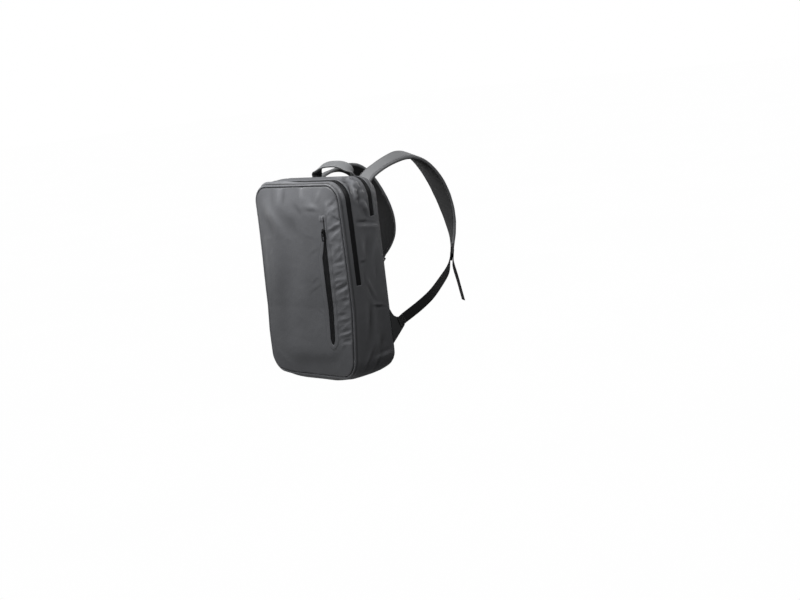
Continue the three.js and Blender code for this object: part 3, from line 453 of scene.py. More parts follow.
def weave(tree, across, along, distortion=0.0):
    """Bands across the flat cloth and bands along it, laid over each other."""
    place = add_node(tree, "ShaderNodeUVMap", uv_map="UVMap").outputs[0]
    bands = [
        add_node(tree, "ShaderNodeTexWave", {"Vector": place, "Scale": scale, "Distortion": distortion},
                 bands_direction=way).outputs["Fac"]
        for way, scale in (("X", across), ("Y", along))]
    return times(tree, *bands)


def bumped(tree, height, strength, distance, under=None):
    """A relief from a height, over another one where there is one under it."""
    made = add_node(tree, "ShaderNodeBump", {"Height": height, "Strength": strength, "Distance": distance})
    if under is not None:
        tree.links.new(under, made.inputs["Normal"])
    return made.outputs[0]


def painted(finish, colour, gloss, relief, sheen=0.0, sheen_roughness=0.5):
    """Leads a colour, a roughness and a relief to a material's surface."""
    tree = finish.node_tree
    surface = tree.nodes["Principled BSDF"].inputs
    for name, socket in (("Base Color", colour), ("Roughness", gloss), ("Normal", relief)):
        tree.links.new(socket, surface[name])
    surface["Sheen Weight"].default_value = sheen
    surface["Sheen Roughness"].default_value = sheen_roughness
    return finish


def coated_cloth(name, dark, light, roughness):
    """Woven cloth under a satin coating: a soft mottle, a faint weave, crinkles, and its colour scaled by
    the crest: painted shade in hollows, paler crests partly worn and partly painted light.
    """
    finish, tree = new_finish(name)
    shade = two_tone(tree, speckle(tree, scale=16.0, detail=4.0, roughness=0.6), dark, light)
    # The crest darkens hollows and seams as painted shade, and lightens crests, the strip and the tab, partly
    # as worn cloth and partly as painted light
    proud = add_node(tree, "ShaderNodeAttribute", attribute_name="crest")
    rub_and_painted_light = spread(tree, proud.outputs["Fac"], CREST_RANGE, CREST_SHADES)
    worn = add_node(tree, "ShaderNodeVectorMath", {0: shade, "Scale": rub_and_painted_light}, operation="SCALE")
    scuff = speckle(tree, scale=45.0, detail=6.0, roughness=0.65)
    gloss = spread(tree, scuff, MOST_NOISE, roughness)
    crinkle = speckle(tree, scale=70.0, detail=5.0, roughness=0.62)
    creased = bumped(tree, crinkle, strength=0.5, distance=0.0014)
    yarns = weave(tree, COATED_WEAVE, COATED_WEAVE)
    woven = bumped(tree, yarns, strength=0.18, distance=0.0001, under=creased)
    return painted(finish, worn.outputs[0], gloss, woven, sheen=0.08, sheen_roughness=0.4)


grey_coating = coated_cloth(
    "grey_coated_cloth", dark=(0.172, 0.176, 0.188), light=(0.220, 0.224, 0.238), roughness=(0.33, 0.47))


def front_grid():
    """Places of the front panel's points across and up: one block on either side of the mouth."""
    rows = panel_rows(FRONT_INSET, *FRONT_ROWS)
    heights, halves = rows[:, :1], rows[:, 1:]
    table = np.array(FRONT_MOUTH[::-1], float)
    low, high = table[0], table[-1]
    share = halves / (CORNER_X + CORNER_RADIUS - FRONT_INSET)
    closed_low, closed_high = share * (low[1] + low[2]) / 2, share * (high[1] + high[2]) / 2
    lips = []
    for column in (1, 2):
        lip = np.interp(heights, table[:, 0], table[:, column])
        lip = np.where(heights < low[0], closed_low, lip)
        lips.append(np.where(heights > high[0], closed_high, lip))
    left = -halves + (lips[0] + halves) * graded(*FRONT_LEFT_COLUMNS)
    right = lips[1] + (halves - lips[1]) * graded(*FRONT_RIGHT_COLUMNS)
    across = np.hstack([left, right])
    return across, np.broadcast_to(heights, across.shape).copy(), left.shape[1]


def front_details(x, z):
    """What sewing and pressing leave on the front: how far the cloth lifts, how far the welt, its crease,
    the tab and the rolled lip do, and the painted light and shade: shade along the seam, light up the strip
    and a highlight on the tab."""
    mouth = distance_to_mouth(x, z)
    inside = inside_rim(x, z, FRONT_INSET)
    flat = np.stack([x, np.zeros_like(x), z], -1)
    soft = PUCKER_SHARE * fold_heights(PUCKERS, x, z, pinched=True) + fold_heights(DRAGS, x, z)
    soft += rumpled(flat, FRONT_RUMPLES) - GATHER_SHARE * fold_heights(GATHERS, x, z)
    strip = smooth_step(*STRIP_LEFT, x) * smooth_step(*STRIP_LOW, z) * (1 - smooth_step(*STRIP_HIGH, z))
    drawn = np.stack([STRIP_DRAWN_OUT * x, np.zeros_like(x), z - STRIP_LEAN * x], -1)
    soft += STRIP_CRUMPLE * strip * crumple(drawn, STRIP_SIZE, STRIP_SEED)
    crushed = hump(x, *CRUSHED_X) * hump(z, *CRUSHED_Z)
    soft += FRONT_CRUMPLE * crushed * crumple(flat, CRUSHED_SIZE, CRUSHED_SEED)
    width = WELT_WIDTH + (WELT_TOP_WIDTH - WELT_WIDTH) * smooth_step(*WELT_NARROWS, z)
    beyond = mouth - width
    loose = smooth_step(0, SEAM_HOLD, inside) * smooth_step(*LOOSE_FROM, beyond)
    tab = smooth_step(*TAB_LEFT, x) * (1 - smooth_step(*TAB_RIGHT, x))
    tab *= smooth_step(*TAB_LOW, z) * (1 - smooth_step(*TAB_HIGH, z))
    pressed = WELT_RISE * (1 - smooth_step(*WELT_STEP, beyond))
    pressed -= WELT_CREASE * hump(beyond, CREASE_PLACE, CREASE_WIDTH)
    pressed += TAB_RISE * tab - LIP_ROLL * hump(mouth, 0, LIP_WIDTH)
    # Painted light up the strip, a painted highlight on the tab and painted shade along the seam
    strip_light = STRIP_PAINTED_LIGHT_LOW + (STRIP_PAINTED_LIGHT_HIGH - STRIP_PAINTED_LIGHT_LOW) * smooth_step(*PAINTED_LIGHT_GROWS, z)
    painted_light = TAB_PAINTED_HIGHLIGHT * tab + strip_light * strip - SEAM_PAINTED_SHADE * hump(inside, 0, SEAM_PAINTED_SHADE_WIDTH)
    return soft * loose, pressed, painted_light


def make_front_panel():
    x, z, left_columns = front_grid()
    soft, pressed, painted_light = front_details(x, z)
    points = placed(np.stack([x, front_face(x, z) - soft - pressed, z], -1))
    rows, columns = x.shape
    kept = np.ones((rows - 1, columns - 1), bool)
    kept[:, left_columns - 1] = False
    measure = np.stack([x, z], -1) * MM
    return cloth_from_grid("front_panel_cloth", points, measure, grey_coating, CLOTH_WALL, kept, soft + painted_light)


front_cloth = make_front_panel()
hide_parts("front_panel")
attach(front_cloth, "pack")


# Front zip: two black coated tapes welded behind the pocket's mouth, with a fine slit between them and the
# coil's ribs printed through the coating. A painted slider with a hinged pull stands near its top.
ZIP_SUNK, ZIP_TAPE, ZIP_SIDE_GAP = 0.4, 1.4, 0.42
ZIP_ROWS = 150
RIB_PITCH, RIB_SIZE, RIB_LEVEL = 2.4, (0.9, 4.2, 0.5), 0.12
# Across a tape, as shares of its half-width: the ridges beside the slit, and the slit
TAPE_RISE, TAPE_RIDGE, TAPE_RIDGE_WIDTH = 0.3, 0.2, 0.13
SLIT_SUNK, SLIT_WIDTH = 0.5, 0.055
# A narrow stretch of the mouth has a lower ridge, and no ribs
FULL_RIDGE_FROM, RIBS_FROM = 6.0, 5.5
SLIDER_BEVEL, PULL_BEVEL = 0.45, 0.4
BEVEL_SEGMENTS, SHARP_EDGE, WELDED_WITHIN = 3, math.radians(30), 1e-5
# How much dust darkens and lightens a black coating, and how far it changes the roughness
DUST_SHADES, DUST_GLOSS = (0.7, 1.4), (-0.08, 0.1)


def both_ways(values):
    """Values from the middle out, with the same ones on the other side."""
    return np.array([-value for value in reversed(values[1:])] + values)


TAPE_SHARES = both_ways([0, 0.05, 0.1, 0.17, 0.25, 0.34, 0.45, 0.6, 0.8, 1])


def black_coating(name, tone, roughness):
    """A matt rubbery coating with dust and a fine grain."""
    finish, tree = new_finish(name)
    dust = speckle(tree, scale=120.0, detail=5.0, roughness=0.7)
    shade = two_tone(tree, dust, *(np.multiply(tone, share) for share in DUST_SHADES))
    gloss = spread(tree, dust, MOST_NOISE, [roughness + change for change in DUST_GLOSS])
    grain = bumped(tree, speckle(tree, scale=1400.0), strength=0.2, distance=0.0002)
    return painted(finish, shade, gloss, grain)


zip_coating = black_coating("black_zip_coating", tone=(0.013, 0.0135, 0.015), roughness=0.5)
slider_paint = black_coating("black_slider_paint", tone=(0.010, 0.010, 0.011), roughness=0.34)


def small_form_tree():
    """Small rounded forms, such as stitches or ribs, at an even pitch along a line and facing its out way."""
    tree = bpy.data.node_groups.new("forms_along_a_line", "GeometryNodeTree")
    sockets = {"Line": "Geometry", "Pitch": "Float", "Size": "Vector", "Finish": "Material"}
    for socket_name, kind in sockets.items():
        tree.interface.new_socket(socket_name, in_out="INPUT", socket_type="NodeSocket" + kind)
    tree.interface.new_socket("Forms", in_out="OUTPUT", socket_type="NodeSocketGeometry")
    given = add_node(tree, "NodeGroupInput").outputs
    line = add_node(tree, "GeometryNodeMeshToCurve", {0: given["Line"]})
    even = add_node(tree, "GeometryNodeResampleCurve", {
        "Curve": line.outputs[0], "Length": given["Pitch"]}, mode="LENGTH")
    bead = add_node(tree, "GeometryNodeMeshUVSphere", {"Segments": 6, "Rings": 4, "Radius": 0.5})
    form = add_node(tree, "GeometryNodeTransform", {"Geometry": bead.outputs[0], "Scale": given["Size"]})
    tangent = add_node(tree, "GeometryNodeInputTangent")
    out = add_node(tree, "GeometryNodeInputNamedAttribute", {"Name": "out"}, data_type="FLOAT_VECTOR")
    facing = add_node(tree, "FunctionNodeAlignRotationToVector", {"Vector": out.outputs[0]}, axis="Z")
    turned = add_node(tree, "FunctionNodeAlignRotationToVector", {
        "Rotation": facing.outputs[0], "Vector": tangent.outputs[0]}, axis="X", pivot_axis="Z")
    forms = add_node(tree, "GeometryNodeInstanceOnPoints", {
        "Points": even.outputs[0], "Instance": form.outputs[0], "Rotation": turned.outputs[0]})
    real = add_node(tree, "GeometryNodeRealizeInstances", {0: forms.outputs[0]})
    finished = add_node(tree, "GeometryNodeSetMaterial", {
        "Geometry": real.outputs[0], "Material": given["Finish"]})
    add_node(tree, "NodeGroupOutput", {0: finished.outputs[0]})
    return tree


forms_along_a_line = small_form_tree()


def applied(piece):
    """Replaces a piece's mesh with what its modifiers make of it."""
    bpy.context.view_layer.update()
    made = bpy.data.meshes.new_from_object(piece.evaluated_get(bpy.context.evaluated_depsgraph_get()))
    piece.modifiers.clear()
    piece.data = made
    made.polygons.foreach_set("use_smooth", np.ones(len(made.polygons), bool))


def forms_on_lines(name, lines, pitch, size, finish):
    """One mesh of small forms on lines of (points in the frame, ways out), with sizes in millimetres."""
    mesh = bpy.data.meshes.new(name)
    points = np.vstack([line[0] for line in lines])
    ways = np.vstack([line[1] for line in lines])
    edges, start = [], 0
    for line, _ in lines:
        edges += [(start + step, start + step + 1) for step in range(len(line) - 1)]
        start += len(line)
    mesh.from_pydata(points.tolist(), edges, [])
    out = mesh.attributes.new("out", "FLOAT_VECTOR", "POINT")
    out.data.foreach_set("vector", ways.astype(np.float32).ravel())
    made = put_in_scene(name, mesh)
    grown = made.modifiers.new("forms", "NODES")
    grown.node_group = forms_along_a_line
    values = {"Pitch": pitch * MM, "Size": tuple(value * MM for value in size), "Finish": finish}
    for item in forms_along_a_line.interface.items_tree:
        if item.in_out == "INPUT" and item.name in values:
            grown[item.identifier] = values[item.name]
    applied(made)
    return made


def tape_profile(share):
    """Rise of a coated tape across its width, from -1 to 1: a ridge on either side of the slit."""
    ridges = TAPE_RISE * hump(np.abs(share), TAPE_RIDGE, TAPE_RIDGE_WIDTH)
    return ridges - SLIT_SUNK * hump(share, 0, SLIT_WIDTH)


def make_zip(name, points, measure, line, ways):
    """A zip's tapes from their points, and its ribs on a line."""
    tape = cloth_from_grid(name + "_tapes", points, measure, zip_coating, ZIP_TAPE)
    ribs = forms_on_lines(name + "_ribs", [(line, ways)], RIB_PITCH, RIB_SIZE, zip_coating)
    return tape, ribs


def make_front_zip():
    table = np.array(FRONT_MOUTH[::-1], float)
    heights = np.linspace(table[0, 0] + SEWN_GAP, table[-1, 0] - SEWN_GAP, ZIP_ROWS)
    left = np.interp(heights, table[:, 0], table[:, 1]) + ZIP_SIDE_GAP
    right = np.interp(heights, table[:, 0], table[:, 2]) - ZIP_SIDE_GAP
    middle, half = (right + left) / 2, (right - left) / 2
    x = middle[:, None] + half[:, None] * TAPE_SHARES
    z = np.broadcast_to(heights[:, None], x.shape)
    ridge = tape_profile(TAPE_SHARES) * np.minimum(1, half[:, None] / FULL_RIDGE_FROM)
    points = placed(np.stack([x, front_face(x, z) + ZIP_SUNK - ridge, z], -1))
    rib_x, rib_z = middle[half > RIBS_FROM], heights[half > RIBS_FROM]
    line = placed(np.stack([rib_x, front_face(rib_x, rib_z) + ZIP_SUNK - RIB_LEVEL, rib_z], -1))
    ways = np.tile((0.0, -1.0, 0.0), (len(line), 1))
    return make_zip("front_zip", points, np.stack([x, z], -1) * MM, line, ways)


def paint_node(node, finish, bevel_width):
    """Paints a hard piece and rounds its edges; its loose triangles are welded first."""
    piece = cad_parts[node]
    weld = piece.modifiers.new("weld", "WELD")
    weld.merge_threshold = WELDED_WITHIN
    bevel = piece.modifiers.new("bevel", "BEVEL")
    bevel.width = bevel_width * MM
    bevel.segments = BEVEL_SEGMENTS
    bevel.limit_method = "ANGLE"
    bevel.angle_limit = SHARP_EDGE
    bevel.harden_normals = False
    piece.data.materials.clear()
    piece.data.materials.append(finish)


front_tape, front_ribs = make_front_zip()
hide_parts("front_zip_tape")
for piece in (front_tape, front_ribs):
    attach(piece, "pack")
paint_node("front_zip_slider", slider_paint, SLIDER_BEVEL)
paint_node("front_zip_pull", slider_paint, PULL_BEVEL)


# Front piping: a cord wrapped in a strip of the coated cloth and caught in the seam between the front and the
# gusset. It runs right round the pack, and its wrap wrinkles a little.
CORNER_ARC = math.pi / 2 * CORNER_RADIUS
GIRTH = 4 * (CORNER_X + CORNER_Z + CORNER_ARC)
PIPING_SECTIONS, PIPING_SIDES = 420, 14
WRAP_WRINKLE, WRINKLE_SIZE, WRINKLE_SEED = 0.16, 7.0, 4


def rim_at(along):
    """Places and ways out on the rounded rim, at distances from the middle of the base up the right side."""
    along = np.asarray(along, float) % GIRTH
    hand = np.where(along > GIRTH / 2, -1.0, 1.0)
    rest = np.where(along > GIRTH / 2, GIRTH - along, along)
    low_turn = CORNER_X + CORNER_ARC
    high_turn = low_turn + 2 * CORNER_Z
    angle = np.clip((rest - CORNER_X) / CORNER_RADIUS, 0, math.pi / 2) - math.pi / 2
    angle = angle + np.clip((rest - high_turn) / CORNER_RADIUS, 0, math.pi / 2)
    centre_x = np.minimum(rest, CORNER_X) - np.maximum(0, rest - high_turn - CORNER_ARC)
    centre_z = -CORNER_Z + np.clip(rest - low_turn, 0, 2 * CORNER_Z)
    out_x, out_z = np.cos(angle), np.sin(angle)
    return hand * (centre_x + CORNER_RADIUS * out_x), centre_z + CORNER_RADIUS * out_z, hand * out_x, out_z


def make_piping():
    along = np.linspace(0, GIRTH, PIPING_SECTIONS + 1)[:, None]
    turn = np.linspace(0, 2 * math.pi, PIPING_SIDES + 1)
    x, z, out_x, out_z = rim_at(along)
    rough = WRAP_WRINKLE * rumple(np.stack([x, np.zeros_like(x), z], -1), WRINKLE_SIZE, WRINKLE_SEED)
    # The first and last section are one
    rough[[0, -1]] = 0
    radius = PIPING_RADIUS + rough
    reach = radius * np.cos(turn) - PIPING_RADIUS
    points = np.stack([x + out_x * reach, front_seam(x, z) - radius * np.sin(turn), z + out_z * reach], -1)
    measure = np.stack(np.broadcast_arrays(turn * PIPING_RADIUS, along), -1) * MM
    return cloth_from_grid("front_piping_wrap", placed(points), measure, grey_coating)


front_cord = make_piping()
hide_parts("front_piping")
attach(front_cord, "pack")


# Gusset: the long band of coated cloth that makes the base, sides and top. It is sewn to the piping in front
# and to the back panel behind, is slit for two zips, and crumples where it turns the upper corners.
GUSSET_FRONT, GUSSET_CROWN, CROWN_POWER, SEAM_HOLD_POWER = 0.82 * PIPING_RADIUS, 6.0, 3, 6
ZIP_WIDTH = 13.0
# Each zip's depth behind the front seam, and the height of its ends
MAIN_ZIP, LAPTOP_ZIP = (19.5, -11.0), (88.0, 136.0)
GUSSET_ZIPS = (MAIN_ZIP, LAPTOP_ZIP)
SIDE_LENGTH_BELOW = CORNER_X + CORNER_ARC + CORNER_Z
SIDE_FOLDS = [
    # depth from the front seam, height up the side, half-length, half-width, rise, lean
    (62, 176, 34, 9, -3.2, 52), (44, 150, 30, 8, 2.2, 60), (66, 118, 46, 10, -2.4, 74),
    (60, 40, 70, 16, -2.6, 88), (40, -60, 62, 11, 2.0, 84), (74, -84, 74, 12, -2.6, 98),
    (52, -152, 40, 10, 1.8, 76),
]
GUSSET_CREASES = [
    # the crumpled upper corner, between the zips; heights above 180 go on round the corner
    (52, 210, 15, 8, 3.6, 60), (34, 198, 15, 7, -3.0, 70), (41, 188, 14, 4, 2.3, 80),
    (53, 184, 18, 5, -3.3, 85), (63, 185, 16, 5, 2.4, 80), (65, 150, 17, 5, -2.8, -61),
    (70, 161, 15, 5, 2.2, -58), (44, 226, 17, 6, -2.6, 120), (60, 232, 18, 6, 2.4, 40),
    (71, 214, 15, 6, -2.4, 100), (50, 250, 20, 7, 1.9, 80), (68, 258, 19, 7, -1.9, 60),
    # under the end of the laptop zip
    (84, 126, 16, 5, 1.9, -10), (54, 127, 16, 3.5, -1.6, -5), (72, 115, 36, 6, 2.7, -8),
    # down the side to the base
    (40, 37, 9, 4, -1.8, 0), (39, -2, 14, 4, -1.8, 85), (54, -32, 24, 4.5, -2.5, -64),
    (80, 5, 18, 4, -1.4, 85), (74, -71, 16, 3.5, -2.4, -13), (44, -95, 32, 6, -2.5, 85),
    (58, -100, 42, 8, 1.6, 88), (74, -155, 18, 9, -2.7, 70), (38, -182, 24, 5, -2.2, 63),
    (61, -194, 20, 5, -2.5, 66), (78, -183, 24, 5, 2.3, 3), (62, 70, 34, 8, -1.8, 74),
    (48, 60, 30, 7, 1.4, 100), (84, 62, 26, 7, 1.5, 70),
]
# The left side's creases lie lower, and its rumples are read from another place in the noise
LEFT_LOWER, LEFT_APART = 23.0, 400.0
GUSSET_RUMPLES = [(0.5, 38.0, 5), (0.2, 13.0, 6)]
CORNER_HEIGHT, CORNER_REACH, CORNER_CRUMPLE = 210, 46, 3.2
CORNER_CRUMPLES = [
    # share, size, seed
    (1.0, 17.0, 11), (0.35, 9.0, 12),
]
WELT_FREE, WELT_EDGE, SLIT_WELT, SLIT_ROLL = (1.5, 9), (4.0, 5.2), 0.45, 0.6
# The valley at the piping, the ridge along the top and the sag of the base, each with its width and height,
# and where across the pack the ridge begins and the sag begins and ends, and how wide the painted shade
# in the valley is
VALLEY_WIDTH, VALLEY_DEPTH, VALLEY_PAINTED_SHADE_WIDTH = 3.0, 2.4, 3.0 / 1.4
RIDGE_DEPTH, RIDGE_WIDTH, RIDGE_RISE, RIDGE_FROM = 9.5, 3.2, 4.0, (-30, 50)
SAG_DEPTH, SAG_WIDTH, SAG_RISE, SAG_FROM, SAG_TO = 20.0, 17.0, 8.0, (-140, -40), (50, 125)
# Painted shade along the top's front edge: how dark, and the depths over which it fades
TOP_PAINTED_SHADE, TOP_PAINTED_SHADE_ENDS = 8.0, (4.8, 6.8)
# Step along the band, and columns of the stretches between its edges and the zips' with how even they are
GUSSET_STEP, GUSSET_COLUMNS, GUSSET_EVENNESS = 2.4, (12, 8, 26, 8, 9), 0.4


def up_the_side(along):
    """Height above the side's middle, measured along the rim from the nearer end of the base."""
    return np.minimum(along, GIRTH - along) - SIDE_LENGTH_BELOW


def gusset_place(along, depth, sunk, detail):
    """Points of the gusset at distances along the rim and depths, sunk below its outside, with detail."""
    x, z, out_x, out_z = rim_at(along)
    middle = np.minimum(1, np.abs(2 * depth / BAG_DEPTH - 1))
    hold = 1 - middle ** SEAM_HOLD_POWER
    folds = fold_heights(SIDE_FOLDS, depth, up_the_side(along))
    out = GUSSET_CROWN * (1 - middle ** CROWN_POWER) - sunk + hold * (folds + detail)
    back = depth + front_seam(x, z) * (1 - depth / BAG_DEPTH)
    return placed(np.stack([x + out_x * out, back, z + out_z * out], -1))


def zip_ends(zip_line):
    start = SIDE_LENGTH_BELOW + zip_line[1]
    return start, GIRTH - start


def distance_to_zip(along, depth, zip_line):
    """Distance of places on the gusset from the edge of a zip's slit."""
    start, end = zip_ends(zip_line)
    beside = np.abs(depth - zip_line[0]) - ZIP_WIDTH / 2
    beyond = np.maximum(start - along, along - end)
    return np.hypot(np.maximum(beside, 0), np.maximum(beyond, 0)) + np.minimum(np.maximum(beside, beyond), 0)


def gusset_detail(along, depth):
    """How far the gusset's creases lift it, how far its welts, ridge and sag do, and how much painted shade
    darkens it along the valley at the piping and the top's front edge.
    """
    up = up_the_side(along)
    left = along > GIRTH / 2
    near = np.minimum(*(distance_to_zip(along, depth, line) for line in GUSSET_ZIPS))
    flat = np.stack([depth, up, np.where(left, LEFT_APART, 0.0)], -1)
    soft = fold_heights(GUSSET_CREASES, depth, up + np.where(left, LEFT_LOWER, 0.0), pinched=True)
    crushed = sum(share * crumple(flat, size, seed) for share, size, seed in CORNER_CRUMPLES)
    soft += rumpled(flat, GUSSET_RUMPLES) + CORNER_CRUMPLE * hump(up, CORNER_HEIGHT, CORNER_REACH) * crushed
    soft *= smooth_step(*WELT_FREE, near)
    welt = SLIT_WELT * (1 - smooth_step(*WELT_EDGE, near))
    welt -= SLIT_ROLL * hump(np.maximum(near, 0), 0, LIP_WIDTH)
    rim_x, _, _, out_z = rim_at(along)
    facing_down, facing_up = np.maximum(0, -out_z) ** 2, np.maximum(0, out_z) ** 2
    ridged = facing_up * smooth_step(*RIDGE_FROM, -rim_x)
    sagging = facing_down * smooth_step(*SAG_FROM, rim_x) * (1 - smooth_step(*SAG_TO, rim_x))
    welt -= VALLEY_DEPTH * hump(depth, GUSSET_FRONT, VALLEY_WIDTH)
    welt += ridged * RIDGE_RISE * hump(depth, RIDGE_DEPTH, RIDGE_WIDTH)
    welt += sagging * SAG_RISE * hump(depth, SAG_DEPTH, SAG_WIDTH)
    # dust here is painted shade: dark along the top's front edge and along the valley at the piping
    shaded = TOP_PAINTED_SHADE * facing_up * (1 - smooth_step(*TOP_PAINTED_SHADE_ENDS, depth))
    dust = np.maximum(SEAM_PAINTED_SHADE * hump(depth, GUSSET_FRONT, VALLEY_PAINTED_SHADE_WIDTH), shaded)
    return soft, welt, dust


def make_gusset():
    stops = sorted([0.0, GIRTH, *(end for line in GUSSET_ZIPS for end in zip_ends(line))])
    along = np.unique(np.hstack([
        np.linspace(low, high, max(2, round((high - low) / GUSSET_STEP)) + 1)
        for low, high in zip(stops, stops[1:])]))
    edges = [GUSSET_FRONT]
    for line in GUSSET_ZIPS:
        edges += [line[0] - ZIP_WIDTH / 2, line[0] + ZIP_WIDTH / 2]
    edges.append(BAG_DEPTH)
    depths = [np.array([GUSSET_FRONT])]
    for low, high, count in zip(edges, edges[1:], GUSSET_COLUMNS):
        depths.append(low + (high - low) * graded(count, GUSSET_EVENNESS)[1:])
    depths = np.hstack(depths)
    grid_along, grid_depth = np.meshgrid(along, depths, indexing="ij")
    soft, welt, dust = gusset_detail(grid_along, grid_depth)
    points = gusset_place(grid_along, grid_depth, -welt, soft)
    cell_along = (along[:-1] + along[1:])[:, None] / 2
    cell_depth = (depths[:-1] + depths[1:])[None, :] / 2
    kept = np.ones((len(along) - 1, len(depths) - 1), bool)
    for line in GUSSET_ZIPS:
        kept &= distance_to_zip(cell_along, cell_depth, line) > 0
    measure = np.stack([grid_depth, grid_along], -1) * MM
    # The crest is the creases' lift, less the painted shade
    return cloth_from_grid("gusset_cloth", points, measure, grey_coating, CLOTH_WALL, kept, soft - dust)


gusset_cloth = make_gusset()
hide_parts("gusset")
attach(gusset_cloth, "pack")


# Main and laptop zips: the same black coated tapes, set in the gusset's slits from one side over the top to
# the other. Each has a painted slider with a hinged pull on the left side.
ZIP_STEP = 3.0


def make_gusset_zip(name, zip_line):
    start, end = zip_ends(zip_line)
    along = np.linspace(start + SEWN_GAP, end - SEWN_GAP, round((end - start) / ZIP_STEP))
    across = (ZIP_WIDTH / 2 - SEWN_GAP) * TAPE_SHARES
    grid_along, grid_across = np.meshgrid(along, across, indexing="ij")
    rise = np.broadcast_to(tape_profile(TAPE_SHARES), grid_along.shape)
    points = gusset_place(grid_along, zip_line[0] + grid_across, ZIP_SUNK - rise, 0.0)
    line = gusset_place(along, np.full_like(along, zip_line[0]), ZIP_SUNK - RIB_LEVEL, 0.0)
    _, _, out_x, out_z = rim_at(along)
    ways = np.stack([out_x, np.zeros_like(out_x), out_z], -1)
    return make_zip(name, points, np.stack([grid_across, grid_along], -1) * MM, line, ways)


for zip_name, zip_line in (("main_zip", MAIN_ZIP), ("laptop_zip", LAPTOP_ZIP)):
    tape, ribs = make_gusset_zip(zip_name, zip_line)
    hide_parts(zip_name + "_tape")
    for piece in (tape, ribs):
        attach(piece, "pack")
    paint_node(zip_name + "_slider", slider_paint, SLIDER_BEVEL)
    paint_node(zip_name + "_pull", slider_paint, PULL_BEVEL)


# Back panel: a foam pad in dark air mesh, bound round its sewn rim with the coated cloth. Its cover is blown
# out by cloth simulation from a flatter start, and a quilted line runs inside the rim.
BACK_PAD, BACK_RIM, BACK_ROLL, BACK_INSET = 12.0, 6.0, 14.0, 1.0
BACK_START = BAG_DEPTH + SEWN_GAP
START_SHARE, PAD_ROWS, PAD_COLUMNS = 0.72, (10, 70), 59
VOXEL, PRESSURE, LAST_FRAME, MOST_MOVE, HELD_RIM = 5.0, 4.0, 20, 5.0, 6.0
NO_MOVE = 1e-9
QUILT_INSET, QUILT_WIDTH, QUILT_DEPTH, QUILT_FROM = 17.0, 2.6, 2.0, (BAG_DEPTH + 4, BAG_DEPTH + 7)
BINDING_WIDTH = 5.0
# Where a hole of the air mesh ends and its net is full, how much lighter lit thread is, and its roughness
NET_EDGE, THREAD_LIT, MESH_GLOSS = (0.22, 0.42), 1.7, (0.7, 0.95)


def air_mesh(name, thread, hole, pitch):
    """Knitted air mesh: a dark open net of rounded holes over a darker ground."""
    finish, tree = new_finish(name)
    place = add_node(tree, "ShaderNodeTexCoord").outputs["Object"]
    cells = add_node(tree, "ShaderNodeTexVoronoi", {
        "Vector": place, "Scale": 1.0 / pitch, "Randomness": 0.25}, feature="F1")
    net = spread(tree, cells.outputs["Distance"], NET_EDGE, WHOLE_RANGE)
    fibre = speckle(tree, scale=900.0, detail=3.0)
    lit = times(tree, net, fibre)
    shade = two_tone(tree, lit, hole, np.multiply(thread, THREAD_LIT))
    gloss = spread(tree, fibre, WHOLE_RANGE, MESH_GLOSS)
    return painted(finish, shade, gloss, bumped(tree, lit, strength=0.7, distance=0.0008), sheen=0.3)


dark_mesh = air_mesh(
    "dark_air_mesh", thread=(0.030, 0.031, 0.033), hole=(0.008, 0.008, 0.009), pitch=0.0030)


def turn_outwards(form):
    bmesh.ops.recalc_face_normals(form, faces=form.faces)


def make_pad_blank():
    """The pad before its cover is blown out: two faces that meet at the rim."""
    rows = panel_rows(BACK_INSET, *PAD_ROWS)
    x = rows[:, 1:] * np.linspace(-1, 1, PAD_COLUMNS)
    z = np.broadcast_to(rows[:, :1], x.shape)
    roll = np.minimum(1, inside_rim(x, z, BACK_INSET) / BACK_ROLL)
    thickness = BACK_RIM + (START_SHARE * BACK_PAD - BACK_RIM) * np.sin(roll * math.pi / 2)
    inner = np.full_like(x, BACK_START)
    points = np.vstack([np.stack([x, y, z], -1).reshape(-1, 3) for y in (inner, inner + thickness)])
    number, cells = grid_cells(*x.shape)
    cells = cells.reshape(-1, 4)
    ring = np.hstack([number[0, :-1], number[:-1, -1], number[-1, :0:-1], number[:0:-1, 0]])
    after = np.roll(ring, -1)
    sides = np.stack([ring, ring + x.size, after + x.size, after], -1)
    mesh = bpy.data.meshes.new("back_pad")
    mesh.from_pydata(placed(points).tolist(), [], np.vstack([cells, cells[:, ::-1] + x.size, sides]).tolist())
    reformed(mesh, turn_outwards)
    return put_in_scene("back_pad", mesh)


def vectors_of(items, name):
    """One vector of each vertex or face, as rows."""
    flat = np.zeros(len(items) * 3)
    items.foreach_get(name, flat)
    return flat.reshape(-1, 3)


def in_pack(points):
    """Points in the frame, as millimetres from the middle of the front seam."""
    return (points - SEAM_MIDDLE) / MM


def from_pad_rim(flat):
    return inside_rim(flat[:, 0], flat[:, 2], BACK_INSET)


def blow_out(piece):
    """Lets the cover swell under pressure, with its sewn rim held, and limits how far it moves."""
    rest = vectors_of(piece.data.vertices, "co")
    rim = piece.vertex_groups.new(name="sewn_rim")
    held = np.nonzero(from_pad_rim(in_pack(rest)) < HELD_RIM)[0]
    rim.add(held.tolist(), 1.0, "REPLACE")
    cloth = piece.modifiers.new("cover", "CLOTH")
    cloth.settings.vertex_group_mass = "sewn_rim"
    cloth.settings.use_pressure = True
    cloth.settings.uniform_pressure_force = PRESSURE
    cloth.settings.effector_weights.gravity = 0
    for number in range(1, LAST_FRAME + 1):
        bpy.context.scene.frame_set(number)
    swollen = piece.evaluated_get(bpy.context.evaluated_depsgraph_get()).data
    move = vectors_of(swollen.vertices, "co") - rest
    bpy.context.scene.frame_set(1)
    piece.modifiers.remove(cloth)
    length = np.linalg.norm(move, axis=1, keepdims=True)
    return rest + move * np.minimum(1, MOST_MOVE * MM / np.maximum(length, NO_MOVE))


